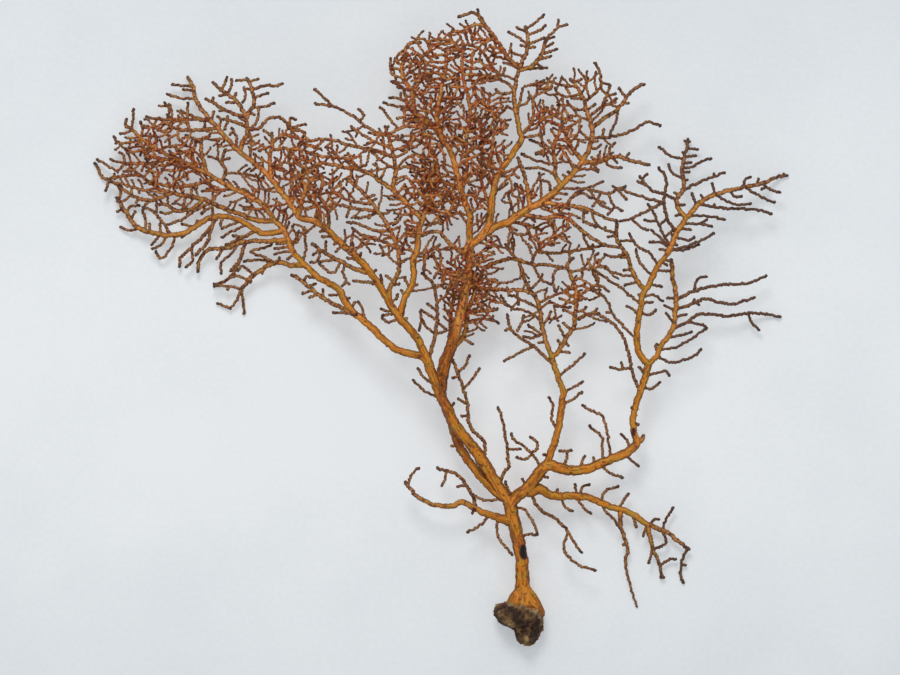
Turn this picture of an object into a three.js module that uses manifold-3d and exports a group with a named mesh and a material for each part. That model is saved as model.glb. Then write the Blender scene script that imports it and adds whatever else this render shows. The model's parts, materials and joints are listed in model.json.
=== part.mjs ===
// A dried sea fan, lying flat, still holding the loose stone that it grew on.
// Units are millimetres. +Z is up, and the broad side of the fan faces up.
// Every branch is a tapered tube along a hand-drawn route. The fan is split at its main forks.
import * as THREE from 'three';
import Module from 'manifold-3d';

const wasm = await Module();
wasm.setup();

// The routes are drawn on a grid seen from above, x to the right and y down.
const GRID_STEP = 0.5;
const ORIGIN_COLUMN = 521;
const ORIGIN_ROW = 615;

// Driving dimensions
const TWIG_WIDTH = 1.6;
const STEM_WIDTH = 3;
const HOLDFAST_HEIGHT = 9.5;
const JOINT_GAP = 0.34;

// The stone is three rough lumps grown together, each with its place, size and highest point
const STONE_LUMPS = [
  { place: '521,615', size: new THREE.Vector3(28, 15.5, 19.5), highest: 17.6 },
  { place: '528,626', size: new THREE.Vector3(17, 11, 15.5), highest: 14.5 },
  { place: '527,635', size: new THREE.Vector3(11.5, 11.5, 14), highest: 13 },
];
const STONE_DETAIL = 2;
const STONE_RELIEF = 0.09;
const STONE_WAVES = [new THREE.Vector3(11, 7, 0), new THREE.Vector3(0, 13, -9), new THREE.Vector3(5, 0, 8)];

// A twig is in the solids when it is long, or when it is shorter and its tip stands in the open
const LONG_TWIG = 18;
const SHORT_TWIG = 8;
const OPEN_ROOM = 5;

// Placing of twigs that would meet another limb of the fan
const CLEARANCE = 0.7;
const SAMPLE_STEP = 1.5;
const ROOT_RUN = 0.4;
const LIFTS = [0, 2, -2, 4, -4, 6, -6, 8, -8, 10, -10];
const HIGHEST = 46;
const MOST_LEAN = 3;
const LEAN_SHARE = 0.22;
const ROOT_FREE_RADIUS = 6;

// Faceting
const TIP_SHARE = 0.85;
const MERGE_TOLERANCE = 0.2;
const SIDES_BY_WIDTH = [
  { below: 2.5, sides: 3, swell: 1.22, tolerance: 1.4 },
  { below: 4.3, sides: 4, swell: 1.22, tolerance: 1.0 },
  { below: 6.0, sides: 5, swell: 1.1, tolerance: 0.9 },
  { below: Infinity, sides: 8, swell: 1.04, tolerance: 0.7 },
];

// Finishes
const STEM_FINISH = { color: 0xb9751f, roughness: 0.75 };
const TWIG_FINISH = { color: 0x7a4a26, roughness: 0.75 };
const STONE_FINISH = { color: 0x54452f, roughness: 0.95 };

// Each limb has a name, the limb that carries it, and its routes, one a line.
// A line may start with widths from root to tip, then z and heights after the root.
// A line with no width is a twig. Its first place joins the nearest route above it.
const LIMBS = `
limb trunk on stone
7.4/6.8/6.4/6.4 z15 523,608 522,575 522,560 519,545 516,530 512,515 510,503
18/12/8 z10 523,603 523,595 522,586
517,506 525,510 530,517 537,532 538,536
520,538 530,534 537,536
limb low_left on trunk
4.8/3.4/2.8/1.8 z14 511,522 500,518 490,515 480,511 472,507 462,502 455,505 435,505 418,497 404,481
408,485 412,474 420,467
2.2/1.8 475,509 474,500 466,485 458,475 443,470 436,467
446,472 444,482 441,487
465,486 456,487
474,508 472,515
489,516 482,524 474,529 466,533
498,518 497,530 499,539 505,546 513,556
limb left_main on trunk
6.4/6.2/5.4/5 z26 510,505 500,490 485,465 474,449 463,435 455,424 449,411 440.5,396 433.5,378 428,362
5.2/4.8/5.2/6.2 z14/18 506,500 488,484 475,469.5 465,456 458,443 452.5,425 447.5,411 441,394 442,380 444,366
2/1.8 z17 482,465 482,438 476,434 468,418 468,408 463,388 452,358
458,372 464,367 470,354
464,389 476,374 480,367
457,377 451,378
466,404 457,398
467,416 460,416
440,398 430,394 417,384 412,379
436,384 430,382 424,377 417,367
451,408 455,402
455,448 450,446
2/1.6 z20 498,488 503,474 508,468 508,458 505,435 499,410 497,406
507,449 514,449 522,449
504,500 485,500 478,498 472,493
limb right_main on trunk
6.6/6.2 z17 510,505 520,494 528,488 534,480 539,473 546,466
527,486 521,478
541,476 549,478
542,470 536,459 531,453 522,445 512,437 511,432
531,455 526,459 515,457
531,453 537,449 537,443 529,436
515,499 507,487 505,480
limb right_bough on right_main
5.6/5.2/4.8 z14 546,466 568,470 580,470 590,468 600,464 612,459 622,455 632,449 637,443
563,468 567,457 568,451 573,450
568,451 558,451
580,468 583,459 586,455
595,465 593,456
603,461 602,448 603,440 594,430 588,425
610,458 609,445 607,432 601,415 592,411 581,405
630,449 626,439 620,433
601,466 610,473 624,478
625,455 632,461 640,467
limb right_riser on right_bough
3.6/4 z17 637,443 634,432 633,420 636,405 641,390 645,378 648,365
2.4/2 z12 637,442 642,440 644,434
634,425 640,424
632,412 631,406
642,387 651,389 658,384 661,381
646,377 656,373 668,373 670,377
644,375 638,366
2/1.6 z20 640,392 633,375 629,356 623,337 608,320 593,314 577,320
630,368 616,369 609,366
623,367 621,361
limb fan_left on right_riser
4/3 z20 648,365 641,357 637,345 637,332 641,305 643,293 648,286 657,267 663,259 669,251
657,265 650,254 637,246 632,240 629,232
632,241 619,241
652,276 640,263 635,248
641,304 635,300 621,288 604,277 592,268
643,297 637,294
639,316 629,307 625,306
637,340 624,327 612,313 606,299 592,290
610,313 605,312
650,285 663,287
643,297 652,295 661,300 664,302
642,303 654,302
641,312 649,315 657,309
661,262 668,266
655,270 667,271 671,271
664,260 672,262
limb fan_veil on fan_left
2.6/2 z24 645,290 640,285 632,271 626,254 617,241 616,232 617,222
631,270 622,270
634,277 617,274 603,267 596,262 595,256 599,252
637,282 623,286
626,257 619,258
626,253 614,257 603,254
617,236 606,237
616,234 600,228 584,222
605,229 605,226
limb fan_right on right_riser
3.5/2.5 z12 648,365 656,357 660,347 667,338 673,328 675,315 676,303 676,293 673,280 672,267 671,258
675,311 668,307 663,305
674,323 665,312
675,298 666,298
2/1.6 z9 676,300 692,292 714,286 732,284 744,284 762,278 768,275
694,291 698,279 708,276
2/1.6 z16 675,309 690,305 704,299 722,303 732,304 750,299 756,297
694,303 694,298
697,303 700,306
675,317 688,314
2/1.6 z9/0 674,328 686,323 697,315 705,314 728,316 750,313 773,315 783,317
749,313 751,320 761,331
687,322 702,325 707,328
660,350 673,348 691,339 708,327
668,338 686,334 693,331
657,356 669,362 687,359 699,352 702,348
658,351 655,346 659,344
limb fan_top on fan_left
3.5/2.6/1.8 z19/13/0 669,251 672,243 677,232 690,214 702,201 717,194 740,188 763,183 786,175 790,175
671,246 665,238 652,211 647,203
2/1.7 z24 677,232 669,223 664,205 664,195 666,185 664,175 657,167
1.8/1.5 z20 664,203 645,198 622,190 611,186
622,190 626,186
1.8/1.5 z26 663,203 647,211 627,220 618,222
630,219 643,229 649,231
666,218 658,227
656,221 648,221 643,219
669,248 660,238 650,229
669,248 661,243 648,242
669,253 658,249
673,243 678,246
675,235 670,235
665,237 673,230
683,224 699,224 713,227
699,224 708,219
680,229 692,230
676,238 692,239 695,236
688,216 706,216 726,220
1.8/1.6 z9 700,205 722,208 748,209 767,212 773,215
715,207 714,203
697,207 691,192
704,200 700,194
715,195 712,182
716,195 724,200 742,205 752,203
730,191 734,196 743,197
744,187 745,180 752,176
758,184 759,177
745,188 762,197 776,203
763,184 769,188 782,193
766,187 761,190
786,175 784,172
671,253 680,248 700,241 715,233
673,254 683,250 700,244
limb fan_spire on fan_top
2.6/1.7 z14/0 687,218 680,212 677,200 679,195 683,190 682,170 684,160 688,145 689,137
684,159 670,155 661,148 658,146
681,178 672,172 668,163
688,148 700,149
686,157 698,155
687,154 682,151
688,141 684,140
688,141 692,141
683,168 691,167 705,160 713,158
683,163 693,162
683,172 691,172
683,180 689,180
1.8/1.6 z15 682,190 700,182 718,175 726,172
714,177 714,172
1.8/1.6 z18 677,200 666,195 653,191 645,184 639,175
642,179 648,173
647,186 636,181
679,195 673,192
678,205 686,205
681,216 674,216
limb low_right on right_main
5.2/4.1/3.4/1.8 z10/5/4 524,492 530,491 540,489 550,495 572,496 585,497 608,506 632,514 648,525 668,533 678,541 691,551
2/1.6 z10 531,492 537,506 558,521 566,529 577,547 583,554
567,533 564,549 577,564 597,571
557,495 558,488
577,496 575,483
580,496 583,487 591,484
601,503 604,493 614,488 620,486
619,509 623,502 630,493
650,525 656,520 661,520
663,530 668,517 675,507
561,496 565,507 574,512
575,497 586,510 592,515
602,504 606,512 616,522 618,527
633,515 637,529
647,525 646,530 643,538
2.5/1.8/1.1 z3/0 621,510 621,525 628,552 626,562 628,575 635,600 638,609
626,545 622,545
2.6/1.6 z4/1.5 648,525 653,548 661,568 662,580
661,573 665,580
652,549 649,565
660,566 672,560 678,560
656,548 661,548
663,531 666,544 660,548
1.7/1.6 z1/0 688,549 684,558 682,578 685,585
683,565 688,566
limb mid_bough on right_main
4.5/3.4 z18 545,467 550,455 558,430 562,402 563,392 559,380 552,358
2/1.6 z16 553,364 547,359 537,349 510,327 508,320 507,313
533,347 515,355 503,362
516,333 523,319 524,314
510,329 504,331
560,376 575,363 586,353
563,393 584,381
562,405 576,397 583,391
557,431 552,420 552,402 548,396
550,456 542,454
limb mid_west on mid_bough
3/2 z9 552,358 547,345 541,320 540,310 537,300 527,285 519,262
542,334 531,338 522,336
541,333 527,324
546,342 537,343
540,320 523,310 515,309 503,300 501,294
539,309 520,299 508,294
543,326 550,314 551,310
540,309 551,300
539,303 553,296 573,288
549,301 563,307 572,307
limb mid_east on mid_bough
3/2 z24 552,358 558,352 566,338 573,328 575,315 575,288 569,272 567,266 574,257
562,346 557,339
566,341 569,347
559,351 571,353
567,340 558,324
572,331 562,322
575,315 562,309
575,320 595,313 600,314
575,311 582,311 587,306
590,314 598,308
575,304 558,298
576,297 588,299
1.8/1.6 z22 576,296 585,292 596,285 610,292
597,285 598,279 591,270
575,287 584,284 586,280
581,286 592,291
572,281 582,276 581,268
567,269 556,270 553,278 555,293
569,272 590,269 607,266
591,269 587,258
limb centre_stem on left_main
6.6/5.2/4.6 z25 444,366 449,352 458,325 464,295 469,265 470,247
2.2/1.8 z16 449,352 450,330 453,300 456,290
453,295 450,282
465,287 455,282 450,270 444,269
468,272 455,267 446,261
limb inner_stem on centre_stem
2.8/2.4 z15 454,350 461,340 466,328 467,315 476,290 483,270
467,322 483,319 491,320 500,324
491,319 494,315
1.8/1.6 z22 469,311 488,311 499,309
463,338 474,345
475,300 485,296 492,283 495,278
2.4/1.8 z21 477,288 505,290 528,292 536,297
517,291 519,306
507,290 507,286
508,291 509,297
limb cross_branch on inner_stem
2.4/1.8 z16 483,271 497,262 515,259 530,264 548,265 565,268
1.8/1.6 z19 531,263 539,249 545,245 555,245
1.8/1.6 z18 537,252 556,253 580,250 607,245
590,249 584,238 583,233
590,249 594,244
533,265 541,279 553,285
541,279 543,273
541,279 531,289
519,260 508,250 505,243
limb crown_east on centre_stem
4.8/4 z27 470,247 480,238 490,230 508,222 525,211 545,200 560,187
2.2/1.7 z20 508,222 523,224 543,231
508,222 513,229 518,231
505,223 515,234 529,234
524,226 530,238 529,241
529,233 543,244 555,245
2.4/1.8 z22 520,213 540,218 565,218 584,233 604,245 620,248
567,220 568,230
541,218 555,223
548,200 558,210 561,216
527,216 536,223
2.4/1.8 z32 540,203 560,205 588,210 604,218 618,222
592,211 592,217 598,227
583,209 583,224
576,208 588,214
584,222 597,228
1.9/1.6 z33 567,205 571,198 583,190 607,194 626,186
572,198 583,194 592,200
590,191 594,199 606,204
600,193 597,201 612,211
608,194 613,206 623,212
614,208 606,216
617,191 622,196 627,201
597,201 591,208
553,193 568,195
558,188 575,189 588,188 604,181
541,202 540,180 539,172
541,180 549,184 550,192
2.4/2 z33 530,208 526,184 520,164 517,157
520,167 507,173 501,177
522,212 524,196
514,217 508,194
508,194 517,187 514,183
517,187 528,192 533,191
519,165 512,174 497,191
512,174 517,177 520,179
limb crown_east_tip on crown_east
3.4/2.8/1.8 z18/15 560,187 567,180 580,165 588,151 592,130 587,112 583,98 577,87 569,78
2.4/1.8 z33 561,186 555,175 555,162 553,148 556,140 562,126
554,166 533,160 520,154
554,177 542,169 524,169
553,158 541,146 528,140
553,149 568,148
553,147 547,140
545,150 534,155
567,180 562,174
572,174 566,172
574,171 567,157 564,152
568,164 563,161 561,155
575,170 593,170 599,173
2.8/1.8 z12 582,163 600,162 612,157 636,162 651,165
611,158 610,148 616,142
598,162 598,154
597,161 590,157
619,157 620,153
624,158 630,152
605,160 609,166 623,168
612,158 618,164
2.4/1.8 z26 583,161 572,149 563,128 561,120
573,152 580,139
570,143 578,135
566,134 573,124
562,120 573,117
568,119 564,125
562,119 562,112 565,108
565,110 569,118
1.8/1.6 z24 562,128 548,122 536,117
561,119 551,114 545,107
556,139 550,129
590,141 580,128 582,125
591,143 599,141
589,148 597,148 602,144
1.9/1.6 z12 591,138 610,137 632,131 648,122 662,126
602,137 604,128
2.4/1.8 z14 592,128 602,120 619,108 629,94 641,85 646,84
618,110 617,117 609,136
622,103 630,103
626,98 618,87
619,107 610,104 618,98
1.9/1.6 z21 588,117 600,108 607,95 610,84
601,107 610,104
1.9/1.6 z24 585,102 593,95 600,88 600,75 594,62
601,83 610,85
600,88 608,95 617,94
586,110 575,109 566,100
587,110 594,105 596,103
590,120 578,116 573,108
571,106 556,105
559,107 557,118
551,114 552,105
577,87 562,85 550,81 546,77
582,94 560,95 554,87
570,95 565,86
583,99 570,98
573,82 583,79
limb crown_mid on crown_east
4.6/4/3.6 z34 479,239 487,229 492,200 497,178 510,158 521,141
2/1.7 z27 490,208 482,185 482,152 481,128 480,118
2.2/1.7 z38 495,182 491,165 492,150 494,125
limb crown_spire on crown_mid
3/2.4/1.8 z32/28 521,141 519,130 514,92 518,73 528,45 525,26
528,46 517,38 507,32
527,48 519,46
526,33 515,28
527,30 537,22 545,15
527,36 540,31 546,25
527,49 536,48
524,58 508,52
520,66 507,61 491,56
517,70 502,63
514,92 503,95 494,90
515,81 500,75
1.9/1.6 z26 514,90 501,81 479,79
502,78 505,68
2/1.6 z21 501,81 491,66 478,49 465,45 452,49
2.3/1.7 z39/35 518,70 506,57 498,44 486,28 475,15 463,17 457,19
489,36 481,23 477,10
487,33 476,26 466,37 466,42
502,52 488,47
494,41 486,44 484,48
492,40 470,41
2.6/2 z34/37 519,72 532,67 538,61 547,38
546,38 557,29 558,20
557,29 568,26
546,41 555,38
544,51 554,44
540,56 558,50
538,61 552,57
528,46 545,38
535,64 543,69
523,71 548,69
518,115 521,95 523,88
523,88 543,82
2/1.6 z26 520,136 531,124 534,98 545,80
538,90 553,87
535,96 552,89
532,118 541,112 540,106
517,107 527,103 529,97
520,134 538,128
520,139 545,135
516,112 505,107
limb centre_west on centre_stem
4/3.4 z30 470,247 469,232 470,218 464,200 456,170 450,151 444,142
2.4/1.8 z23 461,189 445,183 423,166
2.4/1.8 z26 464,201 446,195 431,190 427,186
2.4/1.8 z22 469,240 463,252 449,243 438,232 420,237
470,228 459,214 438,223 424,225
456,168 468,160 482,154
2/1.8 z35 462,192 466,175 466,138
limb crown_west on centre_west
3/2.4/1.8 z36/34 444,142 437,120 440,97 446,55 445,49
441,75 428,74 420,75
442,80 430,80 419,79
440,86 427,81
440,89 423,87
440,93 432,93
443,70 430,67 424,66
444,64 432,63 421,65 413,59
446,57 434,55 428,46 424,39
446,52 433,46 429,44 442,41 449,42
446,57 457,51 461,50
446,60 460,58
444,69 450,72 460,78
446,50 455,46 451,40 453,29
455,46 462,38
limb crown_far_west on centre_west
3.4/2.8/2 z22/12 444,142 431,125 415,111 412,93 402,75 404,58 409,44 422,42
2/1.8 z17 432,128 424,124 411,110 406,98 404,88
402,80 393,75 390,57
404,85 390,81
411,91 396,87
402,70 391,68
402,65 397,63 397,58 404,50
403,62 410,59
403,70 412,64
403,77 420,66
405,81 412,76
1.8/1.6 z20 412,92 419,75 422,55
413,91 420,88
408,104 399,99 388,98
401,99 401,92
412,107 394,106 382,103
414,111 400,110
429,122 425,108 427,100
limb crown_thread on centre_west
2.2/1.8 z38/36 466,140 470,112 463,78 462,58 465,46
2.2/1.8 z32 470,108 478,101 473,90 480,78
463,60 472,64 483,61
472,64 472,58 475,54
463,76 480,76
463,70 478,70
472,64 470,83
463,80 450,80 444,83
465,89 448,88
2.4/1.8 z29 478,101 492,112 498,119
496,117 507,126
497,118 503,112 508,106
488,109 490,93
484,106 483,88
limb left_high on left_main
4.5/3.6 z29/27/24 430,362 417,338 398,316 380,286 359,259 343,245 316,222 300,218
403,320 407,318 404,324
394,310 385,311 380,308
395,314 381,316
398,320 388,322 381,317
390,302 397,298 398,293
2/1.6 z24 379,284 365,282 352,281
383,290 382,279 380,274
371,275 377,269
359,259 362,252
361,262 352,259 346,258
2.6/2 z17 370,273 355,269 340,261 325,253 311,243
337,260 318,262
346,264 343,271 346,282 341,287
346,282 351,285
341,262 333,273 322,266 319,262
320,252 317,261 309,263
320,250 312,256
326,253 326,240
343,245 335,253
339,242 333,245
333,237 321,237
326,231 319,232
2.3/1.8 z26 318,224 318,210 309,197 307,191
2.3/1.8 z28 329,233 327,208 321,198 322,178 311,169
321,215 315,216
limb left_spray on left_high
3.6/3 z20 300,218 294,209 279,189 267,174 254,163 241,153
2.6/1.8 z26 272,181 270,160 273,143 272,132
2.2/1.8 z15 289,203 292,180 290,165 288,155
3/2 z27 298,216 303,200 310,182 320,175
308,186 301,181
310,182 320,180
308,187 318,186
306,190 320,190
305,194 320,197
2.4/1.8 z19 290,205 297,190 303,177 306,168
1.9/1.6 z22 273,143 283,136 296,138 305,145 305,150
1.9/1.6 z18 271,150 287,149 300,150 320,156
271,146 262,150 258,152
271,137 263,130
289,156 296,160 305,168 315,166
283,194 284,185
267,174 258,168 250,172
290,180 280,178 275,176
289,172 283,176
296,190 290,186
limb left_peak on left_spray
3/2.6/1.8 z13/0 241,153 229,141 216,126 206,115 195,98 192,85 186,75
2.8/1.8 z22/18 241,151 243,143 248,132 247,118 254,105 252,90 248,80 246,77
248,80 235,81
249,82 260,79
2/1.6 z17 252,90 265,86 280,85 284,83
254,98 270,93
253,108 264,107 276,103
259,108 258,119 249,132
250,113 256,116
251,90 245,90 246,96 242,104
245,91 244,86
2.4/1.8 z13 246,118 241,107 233,98 221,90 212,81
222,90 228,76
228,94 232,83 231,78
226,96 218,96
234,99 237,92
237,102 225,103
2.2/1.7 z9 247,118 229,112 212,102 204,98
213,101 213,96
224,111 218,111
2.2/1.7 z16 247,128 238,123 222,119
228,120 228,115
228,121 224,131
219,129 220,118 216,116
211,121 214,110
238,149 234,131 231,127
234,131 229,136
226,139 210,140
2/1.6 z7 211,121 198,118 179,110
2/1.6 z4 209,120 190,119 162,119 144,116
204,120 205,125 203,129
180,119 177,114
2.2/1.6 z6 217,129 190,130 175,128 163,121 157,117
157,118 153,126 157,142
153,126 168,136 169,148
1.9/1.6 z10 189,130 187,120 188,101
167,119 169,110 163,101
195,98 183,98 170,95 165,93
193,90 181,89
192,86 170,84
178,128 178,138 187,145
2/1.7 z12 249,130 260,128 267,120 275,117 285,121 290,130
290,130 291,118 297,120
290,129 300,125 307,124
289,130 305,133 301,138
290,131 301,140 304,143
limb left_low on left_main
4.2/3.6 z24/18/14 424,359 396,349 371,327 346,303 340,291 318,277 302,262
359,314 352,314 332,312
344,299 351,298
341,295 328,295
352,307 356,301
366,322 361,306 358,300
319,278 308,277
limb left_middle on left_low
3.6/3.2/2.8/2.6 z12/11 302,262 290,246 286,234 272,217 262,204 249,196 229,186 208,174
293,252 283,252 273,255
290,247 273,249
288,243 275,244
294,254 286,260
266,209 250,209 242,209
262,204 254,201 245,202
2.2/1.7 z6 215,178 200,183 190,185 168,186 150,181
191,184 191,197
196,184 196,190
182,186 183,193
175,186 173,180
1.7/1.4 z7 255,198 245,190 220,190 205,188
220,190 200,191
2.2/1.8 z15 222,181 225,173 222,160 226,148
225,173 245,174 265,179
222,160 231,158
223,165 215,158 207,156
305,262 306,250 305,240 304,226
limb left_low_tip on left_middle
2.8/2.2/1.8 z9/4 208,174 196,168 180,160 160,151 143,140 131,129 125,125 126,117
131,129 132,120 133,107
131,129 123,133 118,133
140,137 142,129 139,120
141,125 149,126
141,138 130,142 118,142 112,135
117,141 114,144
143,140 134,145
150,145 149,138 150,132
158,150 140,150 125,153
150,150 146,154 145,160
2.2/1.8 z5 190,165 175,161 160,158 152,157 145,161
2.2/1.8 z3 165,159 150,163 135,163 124,163
124,163 121,153 117,152
123,163 115,161 108,158
123,164 117,170 108,166 95,158
117,170 117,173
143,164 141,172
143,164 152,173 154,179
181,162 165,165 150,166
187,166 178,170 160,169
208,174 195,171 182,174
188,172 180,178 172,180
187,173 187,181
2.4/1.8 z15 207,172 203,160 201,148 201,138
201,140 192,138
202,138 211,136
2.2/1.7 z12 197,168 192,155 195,145 196,138
190,158 185,152 178,150 172,145
193,150 190,146 192,139 184,134
203,158 190,150 175,154 168,150
limb left_sweep on left_middle
3/2.6/2 z7/4 275,221 255,220 240,214 225,209 203,199 183,195 162,190 144,179
2/1.7 z3/0 146,181 141,176 120,176 103,178 96,167 93,161
113,177 113,172
2.4/1.8 z4 203,200 190,209 175,210 164,204 157,204
176,210 165,213 158,212
185,196 183,205
157,188 143,190 126,185 108,181
138,188 139,194
131,187 131,195
2.2/1.8 z7 172,193 150,200 135,197 124,190 117,184
140,199 134,203
150,200 143,206
130,195 122,201 115,201
155,199 156,207 155,213
1.8/1.6 z9 210,203 195,210 182,219 166,225
1.8/1.6 z2 141,176 131,168 128,164
limb left_hem on left_middle
3.4/3.2/3/2.2 z8/6/3 281,233 262,233 245,223 230,217 212,217 198,224 186,232 170,235 150,232 138,228 124,210 115,196
1.7/1.6 z0 138,228 128,230 118,226
122,208 115,212
160,234 150,246
167,235 160,245 150,249
175,234 169,250 160,258 154,250
1.9/1.6 z8 170,235 162,222 152,211 141,206
160,233 159,222
149,232 149,222
144,230 145,222 141,208
131,218 135,210
126,213 128,207 140,205
1.8/1.6 z6 117,200 120,190 115,184 108,181 106,186 105,192
193,227 180,223
197,224 196,219
190,230 180,238
212,217 212,207 200,214
2.2/1.7 z3 217,217 206,232 190,248 180,258 178,268
191,247 191,262 184,268
2/1.6 z9 213,217 211,229 207,242 194,256
207,238 202,249
222,217 220,227
240,221 220,229
247,224 232,231 220,238
2.2/1.8 z5 256,231 243,237 230,243 224,246
243,237 231,235
limb left_fringe on left_middle
2.8/1.9 z9/3 287,240 270,241 242,242 226,248 207,250 199,260 197,273
223,249 215,260
238,243 230,255 221,262 221,275
2.2/1.8 z2 245,242 240,258 226,280 212,285
238,264 229,272
limb left_drop on left_low
3/2.4 z8/5 305,265 290,265 278,262 262,269 250,278 241,289
241,289 228,286 212,286
228,286 227,291
1.7/1.5 z0 241,289 230,307 215,303
230,307 229,310
1.7/1.5 z0 241,289 243,305 244,315
250,278 250,284
262,269 262,275
275,263 262,256 250,252 265,247 273,244
271,265 264,260 255,260 242,261
254,275 240,267 237,272
248,280 235,276 226,279
279,262 279,256
limb left_skirt on left_low
2.6/2 z9 357,313 340,307 323,298 308,286 302,281 290,274
318,294 308,298
313,290 301,294
323,298 323,288
304,282 307,276 311,278
309,286 317,283
limb west_riser on left_high
3.6/3.4 z33 400,318 404,300 412,285 414,275 413,265 418,245 418,235 422,221
413,255 409,247 405,238
419,224 405,222 412,234
416,243 410,243
410,288 404,278
405,298 401,289
412,285 419,285
1.9/1.6 z30 416,256 431,250 441,244
437,246 441,260 434,280
430,251 424,265 424,272
431,250 441,270 458,280
limb west_left on west_riser
3/2.8 z34 422,221 415,213 395,192
2.8/1.8 z38 395,192 396,170 392,150 387,132 385,126
2.8/2.2/1.8 z30/26 395,192 382,183 370,174 358,170 345,168 322,164 312,166
396,180 406,178 414,187 422,195 427,208
398,194 406,184
394,159 407,152 410,147
392,151 407,147 414,138 410,133
391,142 404,138
389,137 400,137
396,170 406,160 417,154
412,157 418,165
396,172 403,168 416,169
393,158 375,150
395,170 381,161 370,150
390,148 380,145
1.9/1.6 z37 388,136 397,131 404,128 428,130
399,130 390,120 380,107
404,128 404,112 402,108
404,118 396,120
404,122 412,123
1.9/1.5 z33/30 388,137 374,132 350,115 330,104 324,98
338,108 314,104
327,103 314,89
360,122 364,117 358,109
390,150 372,141 350,127
2.2/1.6 z32/28 393,158 374,151 350,146 328,140 303,143
325,140 314,150
387,137 378,136 368,133
1.9/1.6 z24 361,171 349,160 330,158 309,154
350,160 350,156 347,153
359,168 368,165
371,174 372,169
380,182 384,174
352,170 353,178 357,184
limb west_right on west_riser
2.6/1.8 z27 422,221 428,207 436,193 437,175 434,155 420,142 414,139
428,208 418,204
428,207 420,203 405,190
limb west_stem on left_high
2.6/2 z36/33 390,300 391,286 397,277 399,255 389,228 374,206 360,190 346,179
396,244 401,239 407,232
397,247 404,246
399,254 406,254
398,265 407,259
388,225 399,221 401,217
390,231 400,228
1.9/1.6 z30 390,232 372,230 358,224 346,223
392,238 383,240
1.9/1.6 z31 395,248 376,239 355,231 352,227
354,230 351,247
365,235 359,249
393,281 385,275
392,286 401,284
378,214 362,218 354,218
379,215 389,213 389,210
1.9/1.6 z30 377,212 350,208 331,200 327,189
1.9/1.6 z33 372,205 352,202 338,195 329,187
336,202 328,215
350,208 347,219
370,203 378,199
367,199 376,195
367,199 360,200
376,212 368,220
limb throat_stem on left_main
2.3/1.8 z19 431,352 436,330 437,305 432,283 421,272
435,334 424,324 420,310
422,317 419,332
436,320 420,309
437,311 426,303
437,302 447,293 447,290
434,290 442,284
435,335 448,330
436,322 447,330
`;

function placeAt(text) {
  const [column, row] = text.split(',').map(Number);
  return new THREE.Vector3((column - ORIGIN_COLUMN) * GRID_STEP, (ORIGIN_ROW - row) * GRID_STEP, 0);
}

function readRoute(line, limb) {
  const words = line.split(' ');
  const route = { limb, widths: [TWIG_WIDTH, TWIG_WIDTH], heights: null, isTwig: true };
  if (!words[0].includes(',')) {
    route.widths = words.shift().split('/').map(Number);
    route.isTwig = false;
  }
  if (words[0].startsWith('z')) {
    route.heights = words.shift().slice(1).split('/').map(Number);
    route.restsAtTip = route.heights[route.heights.length - 1] === 0;
  }
  route.places = words.map(placeAt);
  return route;
}

function readLimbs(text) {
  const limbs = [];
  for (const line of text.trim().split('\n')) {
    const words = line.split(' ');
    if (words[0] === 'limb') {
      limbs.push({ name: words[1], parent: words[3], routes: [] });
    } else {
      const limb = limbs[limbs.length - 1];
      limb.routes.push(readRoute(line, limb));
    }
  }
  return limbs;
}

// A share of one that depends only on a place, for small natural differences
function chance(x, y) {
  const wave = Math.sin(x * 12.9898 + y * 78.233) * 43758.5453;
  return wave - Math.floor(wave);
}

function along(values, share) {
  const position = share * (values.length - 1);
  const index = Math.min(Math.floor(position), values.length - 2);
  return values[index] + (values[index + 1] - values[index]) * (position - index);
}

function sharesOf(places) {
  const runs = [0];
  for (let i = 1; i < places.length; i += 1) {
    const step = Math.hypot(places[i].x - places[i - 1].x, places[i].y - places[i - 1].y);
    runs.push(runs[i - 1] + step);
  }
  const length = runs[runs.length - 1];
  return { length, shares: runs.map((run) => run / length) };
}

// The nearest point, seen from above, on the centre lines of some routes
function nearestOn(routes, place) {
  let best = { distance: Infinity };
  for (const route of routes) {
    for (let i = 1; i < route.points.length; i += 1) {
      const from = route.points[i - 1];
      const to = route.points[i];
      const runX = to.x - from.x;
      const runY = to.y - from.y;
      const reach = (place.x - from.x) * runX + (place.y - from.y) * runY;
      const share = THREE.MathUtils.clamp(reach / (runX * runX + runY * runY), 0, 1);
      const point = from.clone().lerp(to, share);
      const distance = Math.hypot(place.x - point.x, place.y - point.y);
      if (distance < best.distance) {
        best = { distance, point };
      }
    }
  }
  return best;
}

function samplesOf(route, points) {
  const samples = [];
  const { shares } = sharesOf(points);
  for (let i = 1; i < points.length; i += 1) {
    const steps = Math.max(1, Math.ceil(points[i].distanceTo(points[i - 1]) / SAMPLE_STEP));
    for (let k = 0; k < steps; k += 1) {
      const share = shares[i - 1] + (shares[i] - shares[i - 1]) * (k / steps);
      const point = points[i - 1].clone().lerp(points[i], k / steps);
      samples.push({ point, radius: along(route.widths, share) / 2, limb: route.limb });
    }
  }
  samples.push({ point: points[points.length - 1], radius: along(route.widths, 1) / 2, limb: route.limb });
  return samples;
}

function clearanceOf(samples, others, root, rootLimb) {
  let least = Infinity;
  for (const sample of samples) {
    for (const other of others) {
      const isRooted = sample.point.distanceTo(root) < ROOT_FREE_RADIUS && other.limb.name === rootLimb;
      if (other.limb !== sample.limb && !isRooted) {
        const gap = sample.point.distanceTo(other.point) - sample.radius - other.radius;
        least = Math.min(least, gap);
      }
    }
  }
  return least;
}

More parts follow.
